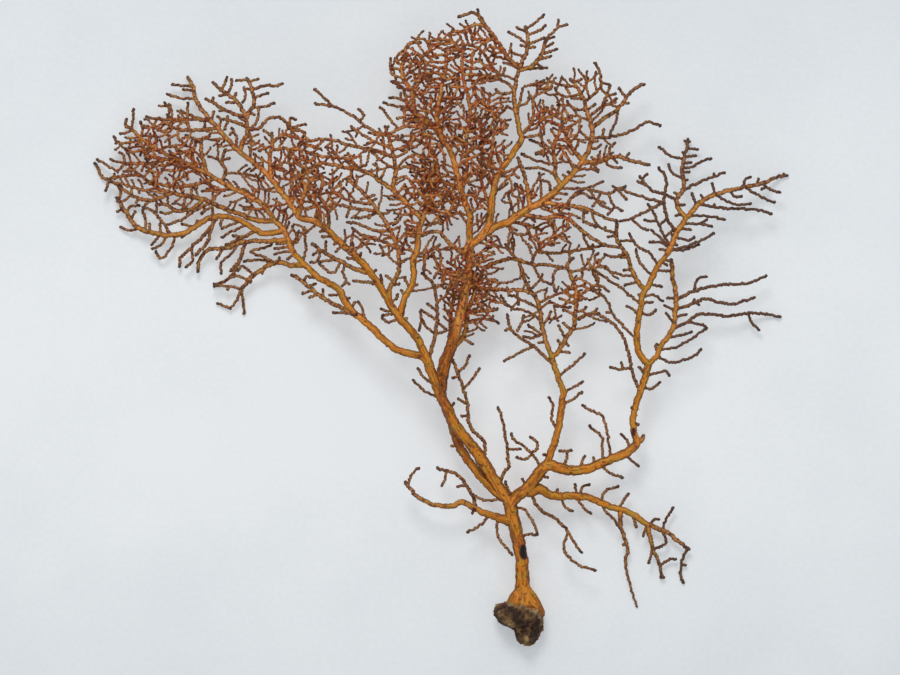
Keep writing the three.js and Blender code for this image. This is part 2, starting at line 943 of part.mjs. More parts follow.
function raisedPoints(route, rootHeight, lift) {
  const { length, shares } = sharesOf(route.places);
  const tip = route.places[route.places.length - 1];
  const lean = (chance(tip.x, tip.y) * 2 - 1) * Math.min(MOST_LEAN, LEAN_SHARE * length);
  const heights = [rootHeight, ...(route.heights || [rootHeight + lean])];
  const lowest = along(route.widths, 1) / 2;
  return route.places.map((place, i) => {
    const rise = THREE.MathUtils.smoothstep(shares[i], 0, ROOT_RUN);
    const fall = route.restsAtTip ? 1 - THREE.MathUtils.smoothstep(shares[i], 1 - ROOT_RUN, 1) : 1;
    const height = along(heights, shares[i]) + lift * rise * fall;
    const floor = route.restsAtTip && shares[i] === 1 ? 0 : lowest;
    return new THREE.Vector3(place.x, place.y, Math.max(height, floor));
  });
}

function placeRoute(route, carriers, rootLimb, others) {
  const isFirst = route.limb.routes[0] === route;
  if (carriers.length > 0) {
    const root = nearestOn(carriers, route.places[0]);
    route.rootHeight = root.point.z;
    route.places[0] = root.point.clone().setZ(0);
  } else {
    route.rootHeight = HOLDFAST_HEIGHT;
  }
  route.clear = -Infinity;
  for (const lift of isFirst ? [0] : LIFTS) {
    const points = raisedPoints(route, route.rootHeight, lift);
    const clear = clearanceOf(samplesOf(route, points), others, points[0], rootLimb);
    const isLow = points.every((point) => point.z <= HIGHEST);
    if (isLow && route.clear < CLEARANCE && clear > route.clear) {
      route.points = points;
      route.clear = clear;
    }
  }
  others.push(...samplesOf(route, route.points));
}

function placeAll(limbs) {
  const placed = [];
  const byName = new Map(limbs.map((limb) => [limb.name, limb]));
  const passes = [(route) => !route.isTwig, (route) => route.isTwig];
  for (const belongs of passes) {
    for (const limb of limbs) {
      const parent = byName.get(limb.parent);
      for (const route of limb.routes.filter(belongs)) {
        const isFirst = limb.routes[0] === route;
        const carrier = isFirst ? parent : limb;
        const carriers = carrier ? carrier.routes.filter((other) => other.points) : [];
        placeRoute(route, carriers, limb.parent, placed);
      }
    }
  }
}

// Leaves out places that a straight run passes within a tolerance
function thinned(points, tolerance) {
  const keep = new Set([0, points.length - 1]);
  const spans = [[0, points.length - 1]];
  while (spans.length > 0) {
    const [from, to] = spans.pop();
    const line = new THREE.Line3(points[from], points[to]);
    let worst = { distance: 0 };
    for (let i = from + 1; i < to; i += 1) {
      const near = line.closestPointToPoint(points[i], true, new THREE.Vector3());
      const distance = near.distanceTo(points[i]);
      if (distance > worst.distance) {
        worst = { distance, index: i };
      }
    }
    if (worst.distance > tolerance) {
      keep.add(worst.index);
      spans.push([from, worst.index], [worst.index, to]);
    }
  }
  return [...keep].sort((a, b) => a - b).map((index) => ({ point: points[index], index }));
}

function facetingOf(width) {
  return SIDES_BY_WIDTH.find((row) => width < row.below);
}

// Rings of points round a route, each level across its direction
function ringsOf(route, grow) {
  const { sides, swell, tolerance } = facetingOf(route.widths[0]);
  const kept = thinned(route.points, tolerance);
  const { shares } = sharesOf(route.points);
  const outward = grow / Math.cos(Math.PI / sides);
  const up = new THREE.Vector3(0, 0, 1);
  return kept.map(({ point, index }, i) => {
    const before = kept[Math.max(i - 1, 0)].point;
    const after = kept[Math.min(i + 1, kept.length - 1)].point;
    const forward = after.clone().sub(before).normalize();
    const side = forward.clone().cross(up).normalize();
    const top = side.clone().cross(forward);
    const isTip = i === kept.length - 1;
    const centre = point.clone().addScaledVector(forward, isTip ? grow : 0);
    const taper = isTip && route.isTwig ? TIP_SHARE : 1;
    const radius = (along(route.widths, shares[index]) / 2) * swell * taper + outward;
    const ring = [];
    for (let k = 0; k < sides; k += 1) {
      const angle = Math.PI / 2 + (k / sides) * Math.PI * 2 + (sides % 2 ? 0 : Math.PI / sides);
      const across = side.clone().multiplyScalar(Math.cos(angle) * radius);
      ring.push(centre.clone().add(across).addScaledVector(top, Math.sin(angle) * radius));
    }
    return ring;
  });
}

function closedTube(rings) {
  const sides = rings[0].length;
  const positions = rings.flat().flatMap((point) => [point.x, point.y, Math.max(point.z, 0)]);
  const triangles = [];
  for (let i = 1; i < rings.length; i += 1) {
    const low = (i - 1) * sides;
    const high = i * sides;
    for (let k = 0; k < sides; k += 1) {
      const next = (k + 1) % sides;
      triangles.push(low + k, low + next, high + next);
      triangles.push(low + k, high + next, high + k);
    }
  }
  const last = (rings.length - 1) * sides;
  for (let k = 1; k < sides - 1; k += 1) {
    triangles.push(0, k + 1, k);
    triangles.push(last, last + k, last + k + 1);
  }
  return solidFrom(positions, triangles);
}

function solidFrom(positions, triangles) {
  const vertProperties = new Float32Array(positions);
  const triVerts = new Uint32Array(triangles);
  let solid = new wasm.Manifold(new wasm.Mesh({ numProp: 3, vertProperties, triVerts }));
  if (solid.volume() < 0) {
    const flipped = triVerts.map((_, i) => triVerts[i - (i % 3) + (2 - (i % 3))]);
    solid = new wasm.Manifold(new wasm.Mesh({ numProp: 3, vertProperties, triVerts: flipped }));
  }
  return solid;
}

function geometryOf(solid) {
  const mesh = solid.getMesh();
  const geometry = new THREE.BufferGeometry();
  geometry.setAttribute('position', new THREE.BufferAttribute(new Float32Array(mesh.vertProperties), 3));
  geometry.setIndex(new THREE.BufferAttribute(new Uint32Array(mesh.triVerts), 1));
  geometry.computeVertexNormals();
  return geometry;
}

function largestPiece(solid) {
  const pieces = solid.decompose();
  return pieces.reduce((best, piece) => (piece.volume() > best.volume() ? piece : best));
}

// How far the stone's skin swells at a point of a ball half a unit in radius
function swellAt(point) {
  const [first, second, third] = STONE_WAVES.map((wave) => point.dot(wave));
  return 1 + STONE_RELIEF * (Math.sin(first) + Math.sin(second + 1)) * Math.cos(third);
}

// One rough lump: a faceted ball with ridges and hollows that depend on direction
function lumpOf({ place, size, highest }) {
  const centre = placeAt(place).setZ(highest - size.z / 2);
  const source = new THREE.IcosahedronGeometry(0.5, STONE_DETAIL).getAttribute('position');
  const found = new Map();
  const positions = [];
  const triangles = [];
  for (let i = 0; i < source.count; i += 1) {
    const point = new THREE.Vector3().fromBufferAttribute(source, i);
    const key = point.toArray().map((value) => value.toFixed(4)).join(' ');
    if (!found.has(key)) {
      found.set(key, found.size);
      const skin = point.clone().multiply(size).multiplyScalar(swellAt(point)).add(centre);
      positions.push(...skin.toArray());
    }
    triangles.push(found.get(key));
  }
  return solidFrom(positions, triangles);
}

// The stone rests on the flat where it broke off, which is cut across its underside
function makeStone() {
  const lumps = STONE_LUMPS.map(lumpOf);
  return wasm.Manifold.union(lumps).trimByPlane([0, 0, 1], 0);
}

// The stone with room round it, so that the holdfast meets it face to face
function stoneGrown(stone) {
  const box = stone.boundingBox();
  const low = new THREE.Vector3(...box.min);
  const high = new THREE.Vector3(...box.max);
  const size = high.clone().sub(low);
  const middle = high.clone().add(low).multiplyScalar(0.5);
  const scale = size.toArray().map((length) => 1 + (2 * JOINT_GAP) / length);
  return stone.translate(middle.clone().negate().toArray()).scale(scale).translate(middle.toArray());
}

// How far the tip of a route stands, seen from above, from every other route
function roomAtTip(route, others) {
  const tip = route.points[route.points.length - 1];
  const rooms = others.filter((other) => other !== route).map((other) => nearestOn([other], tip).distance);
  return Math.min(...rooms);
}

// Short twigs inside the fan are left out of the solids, and those on its open edges stay
function chooseSolidRoutes(limbs) {
  const routes = limbs.flatMap((limb) => limb.routes);
  for (const route of routes) {
    const { length } = sharesOf(route.points);
    const isOpen = length >= SHORT_TWIG && roomAtTip(route, routes) >= OPEN_ROOM;
    route.isSolid = !route.isTwig || (route.clear >= JOINT_GAP && (length >= LONG_TWIG || isOpen));
  }
}

function limbSolid(limb, grow) {
  const tubes = limb.routes.filter((route) => route.isSolid).map((route) => closedTube(ringsOf(route, grow)));
  return wasm.Manifold.union(tubes).simplify(MERGE_TOLERANCE);
}

function boxesMeet(first, second) {
  const a = first.boundingBox();
  const b = second.boundingBox();
  return [0, 1, 2].every((axis) => a.min[axis] <= b.max[axis] && b.min[axis] <= a.max[axis]);
}

function meshOf(name, solid, finish) {
  const material = new THREE.MeshStandardMaterial({ ...finish, metalness: 0 });
  const mesh = new THREE.Mesh(geometryOf(solid), material);
  mesh.name = name;
  return mesh;
}

function buildFan() {
  const fan = new THREE.Group();
  const limbs = readLimbs(LIMBS);
  placeAll(limbs);
  chooseSolidRoutes(limbs);
  const stone = makeStone();
  fan.add(meshOf('stone', stone, STONE_FINISH));
  const keptClear = [stoneGrown(stone)];
  for (const limb of limbs) {
    let solid = limbSolid(limb, 0);
    for (const space of keptClear.filter((other) => boxesMeet(solid, other))) {
      solid = solid.subtract(space);
    }
    const finish = limb.routes[0].widths[0] > STEM_WIDTH ? STEM_FINISH : TWIG_FINISH;
    fan.add(meshOf(limb.name, largestPiece(solid), finish));
    keptClear.push(limbSolid(limb, JOINT_GAP));
  }
  return fan;
}

export default buildFan();
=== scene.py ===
"""A dried sea fan lying flat on its drooping tips and on the loose stone that it grew on.

Lengths are in millimetres until a mesh is made. The fan is seen from straight above.
"""
import json
import math

import bmesh
import bpy
import numpy as np
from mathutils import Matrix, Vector, noise

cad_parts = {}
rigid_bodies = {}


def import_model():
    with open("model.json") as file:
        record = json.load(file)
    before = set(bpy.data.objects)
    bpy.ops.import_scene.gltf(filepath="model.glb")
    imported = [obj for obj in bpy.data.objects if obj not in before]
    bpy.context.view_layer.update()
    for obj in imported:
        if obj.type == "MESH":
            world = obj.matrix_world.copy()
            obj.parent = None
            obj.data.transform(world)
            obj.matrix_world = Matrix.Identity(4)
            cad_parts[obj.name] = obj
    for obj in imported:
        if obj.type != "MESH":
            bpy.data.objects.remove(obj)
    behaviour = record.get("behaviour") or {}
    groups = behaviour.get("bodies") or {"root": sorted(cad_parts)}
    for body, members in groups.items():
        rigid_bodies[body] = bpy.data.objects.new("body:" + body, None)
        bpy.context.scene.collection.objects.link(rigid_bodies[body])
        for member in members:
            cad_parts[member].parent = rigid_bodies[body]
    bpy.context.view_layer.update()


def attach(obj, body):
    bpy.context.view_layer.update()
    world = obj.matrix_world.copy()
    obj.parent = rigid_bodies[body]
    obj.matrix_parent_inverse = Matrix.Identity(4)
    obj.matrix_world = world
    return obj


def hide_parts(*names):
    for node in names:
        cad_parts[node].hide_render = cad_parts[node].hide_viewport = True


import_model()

MM = 0.001

# The grid that the routes are drawn on, seen from above, x to the right and y down
GRID_STEP = 0.5
ORIGIN_COLUMN = 521
ORIGIN_ROW = 615

# Sizes of the fan
TWIG_WIDTH = 1.6
HOLDFAST_HEIGHT = 9.5
HOLDFAST_WIDTH = 8

# How routes keep clear of each other: the gap that is enough, how far apart the samples are, the share
# of a run over which it rises, the lifts that are tried, the highest place, and where a root is free
CLEARANCE = 0.7
SAMPLE_STEP = 1.5
ROOT_RUN = 0.4
LIFTS = (0, 2, -2, 4, -4, 6, -6, 8, -8, 10, -10)
HIGHEST = 46
ROOT_FREE_RADIUS = 6

# A twig leans up or down by this much at most, and by this share of its length
MOST_LEAN = 3
LEAN_SHARE = 0.22

# A limb that grows on from the end of another starts this many radii inside it
LEAD_REACH = 2.0

# How finely a route is read before it gets its even points, and the fewest points that it gets
CURVE_STEPS = 10
FEWEST_POINTS = 5

# Surface of the branches. A route wider than STEM_LIMIT is a stem, and the wider it is, the more sides
# it has. The steps lie along a run, and both its ends close in a dome.
STEM_LIMIT = 2.3
TWIG_STEP = 0.38
STEM_STEP = 0.42
TRUNK_STEP = 0.32
TWIG_SIDES = 6
STEM_SIDES = ((3.2, 10), (5.0, 16), (7.0, 24), (99.0, 40))
DOME_REACH = 0.985

# How much is trimmed off the radius to make room for bumps and knobs, and the radii where one trim
# gives way to the next
TWIG_TRIM = 0.2
STEM_TRIM = 0.26
TRUNK_TRIM = 0.1
STEM_BAND = (0.9, 1.5)
TRUNK_BAND = (2.2, 2.8)

# How the radius swells along a run: the lengths of its waves, and how deep they are
STEM_SWELL = ((19.0, 11.0, 6.5), 0.05)
TWIG_SWELL = ((6.1, 3.7, 2.6), 0.08)

# How much wider a run is at its root, and within what distance. A twig has a thin neck beyond that, and
# a swelling near its tip. A root is never wider than its carrier, apart from what its own core needs.
STEM_FLARE = (0.45, 2.6)
TWIG_FLARE = (0.6, 0.7)
TWIG_NECK = (0.82, 3.0)
TWIG_KNOB = (0.12, 1.1, 0.8)
ROOT_FIT = 0.97

# How a run sways off its drawn line: the lengths of its waves, the most in all and for each
# millimetre of its length, and how gently it starts
SWAY_WAVES = (9.0, 5.3, 3.1)
SWAY_MOST = 0.35
SWAY_SHARE = 0.02
SWAY_EASE = 4

# Polyp bumps on twigs: how far apart, how high, long and wide they are, how much they stray, and how
# strong they are. Some of them sit on top. They fade where the radius passes through BUMP_BAND.
BUMP_SPACING = 1.6
BUMP_HEIGHT = 0.42
BUMP_LENGTH = 0.31
BUMP_SPREAD = 0.85
BUMP_FULL_RADIUS = 0.8
BUMP_START = (0.2, 0.8)
BUMP_STOP = 0.2
BUMP_STRAY = 0.12
BUMP_TURN = 0.45
BUMP_STRENGTHS = (0.5, 1.25)
BUMP_TOP_SHARE = 0.36
BUMP_TOP_TURN = 0.5
BUMP_BAND = (0.85, 1.5)
BUMP_SHADE = 1.5

# Knobs on stems. Each level of a knob has its shares of the size and the height, and how dark it is.
NUB_SPACING = 1.3
NUB_START = 1.0
NUB_STOP = 0.6
NUB_STRAY = 0.6
NUB_TURN = 0.7
NUB_SIDES = 5
NUB_SIZES = (0.24, 0.4)
NUB_HEIGHTS = (0.2, 0.5)
NUB_ROOT = 0.97
NUB_AGE = 0.35
NUB_GRAIN = 0.5
NUB_LEVELS = ((1.3, -0.35, 0.2), (1.05, 0.15, 0.5), (0.8, 0.65, 0.9), (0.4, 1.0, 1.0))

# Lengthwise ridges of a stem: how many go round it and how deep they are, and how they wind
RIDGES = ((2, 0.05), (3, 0.04), (5, 0.035), (8, 0.03), (11, 0.02))
RIDGE_WIND = 1.6
RIDGE_WAVES = (47.0, 29.0)
RIDGE_BAND = (0.7, 1.4)

# Where the named values of a tube go from none to full: by radius, by angle (the shade painted on the flanks, and the
# upper side), or by distance from the tip
AGE_BAND = (0.5, 2.2)
DULL_BAND = (0.65, 1.0)
STEM_FLANK_SHADE_FROM = 0.45
TWIG_FLANK_SHADE_FROM = 0.1
TIP_LONGEST = 4.0
TIP_SHARE = 0.3
TIP_END = 0.3
UPPER_SIDE = -0.2

# The thickets of the fan, each with its place, half its width and height, and how dense its twiglets
# are. The two hearts are denser still. THICKET_EDGE says where the density fades, as a share of the size.
THICKETS = (
    ("458,145", 60, 98, 1.0),
    ("455,72", 70, 52, 0.65),
    ("520,225", 66, 42, 0.7),
    ("468,285", 32, 62, 0.8),
    ("405,245", 32, 60, 0.5),
    ("292,192", 56, 66, 0.6),
    ("190,160", 86, 60, 0.6),
    ("365,190", 62, 70, 0.45),
    ("572,120", 52, 66, 0.55),
    ("560,290", 60, 60, 0.25),
)
HEARTS = (("450,150", 46, 80, 0.55), ("466,290", 26, 54, 0.7))
THICKET_EDGE = (0.65, 1.0)

# Rounds of twiglets: where they start, how far apart they are, and their shortest and longest
TWIGLET_ROUNDS = (
    (THICKETS, 5.0, 8.0, 14.0),
    (THICKETS, 2.8, 4.0, 7.5),
    (HEARTS, 2.4, 3.5, 8.0),
)
TWIGLET_SEED = 41

# Twiglets: their size, the room they need, the shortest run that bears them, their lowest and highest
# points, where their rows start and stop, how they stray, and how they turn, slope and bend
TWIGLET_WIDTH = 1.4
TWIGLET_TAPER = 0.9
TWIGLET_ROOM = 0.3
TWIGLET_FREE = 1.3
TWIGLET_BEARER = 6.5
TWIGLET_LOWEST = 1.2
TWIGLET_HIGHEST = 38.0
TWIGLET_START = (1.5, 3.0)
TWIGLET_STOP = 0.8
TWIGLET_STRAY = 0.4
TWIGLET_TURNS = (0.85, 1.2)
TWIGLET_SLOPE = 0.45
TWIGLET_BENDS = (1.0, 0.85, 0.6)
BEARER_STEP = 0.5
ROOM_STEP = 0.8

# How many samples a square millimetre holds where the fan starts to count as crowded, and where it
# is full, and the cells that they are counted in
CROWD_LOW = 0.2
CROWD_HIGH = 0.8
CROWD_CELL = 2.0
CROWD_MARGIN = 10
CROWD_BLUR = 3

# How fast the streaks change round a stem and along it, and how far one run's streaks are from another's
GRAIN_ROUND = 1.3
GRAIN_ALONG = 0.07
GRAIN_OFFSET = 50

# Twigs grow duller between these distances to the right
DULL_SIDE = (35.0, 85.0)

# Each limb's surface is random in its own way, from this seed on
LIMB_SEED = 500

# Dark scars, each with its limb, its place, half its width and height, how deep it is sunk, and how
# dark it is. A scar fades outwards, and its raised rim has a share of its depth, a place and a width.
SCAR_FADE = (1.2, 0.7)
SCAR_HOLLOW = (1.0, 0.55)
SCAR_RIM = (0.25, 1.15, 0.16)
SCARS = (
    ("trunk", "524.2,552", 4.6, 7.8, 0.9, 1.0),
    ("right_riser", "633.5,432", 2.0, 4.5, 0.15, 0.75),
    ("left_main", "457,449", 3.8, 13.0, 0.1, 0.3),
    ("low_left", "474,510", 2.6, 2.6, -0.4, 0.6),
)

# Reddish stains, each with its limb, its place, and half its width and height
STAIN_FADE = (1.1, 0.5)
STAINS = (
    ("trunk", "521,541", 7.0, 8.0),
    ("left_main", "444,390", 8.0, 42.0),
    ("left_main", "462,468", 9.0, 16.0),
    ("centre_stem", "449,350", 11.0, 34.0),
)

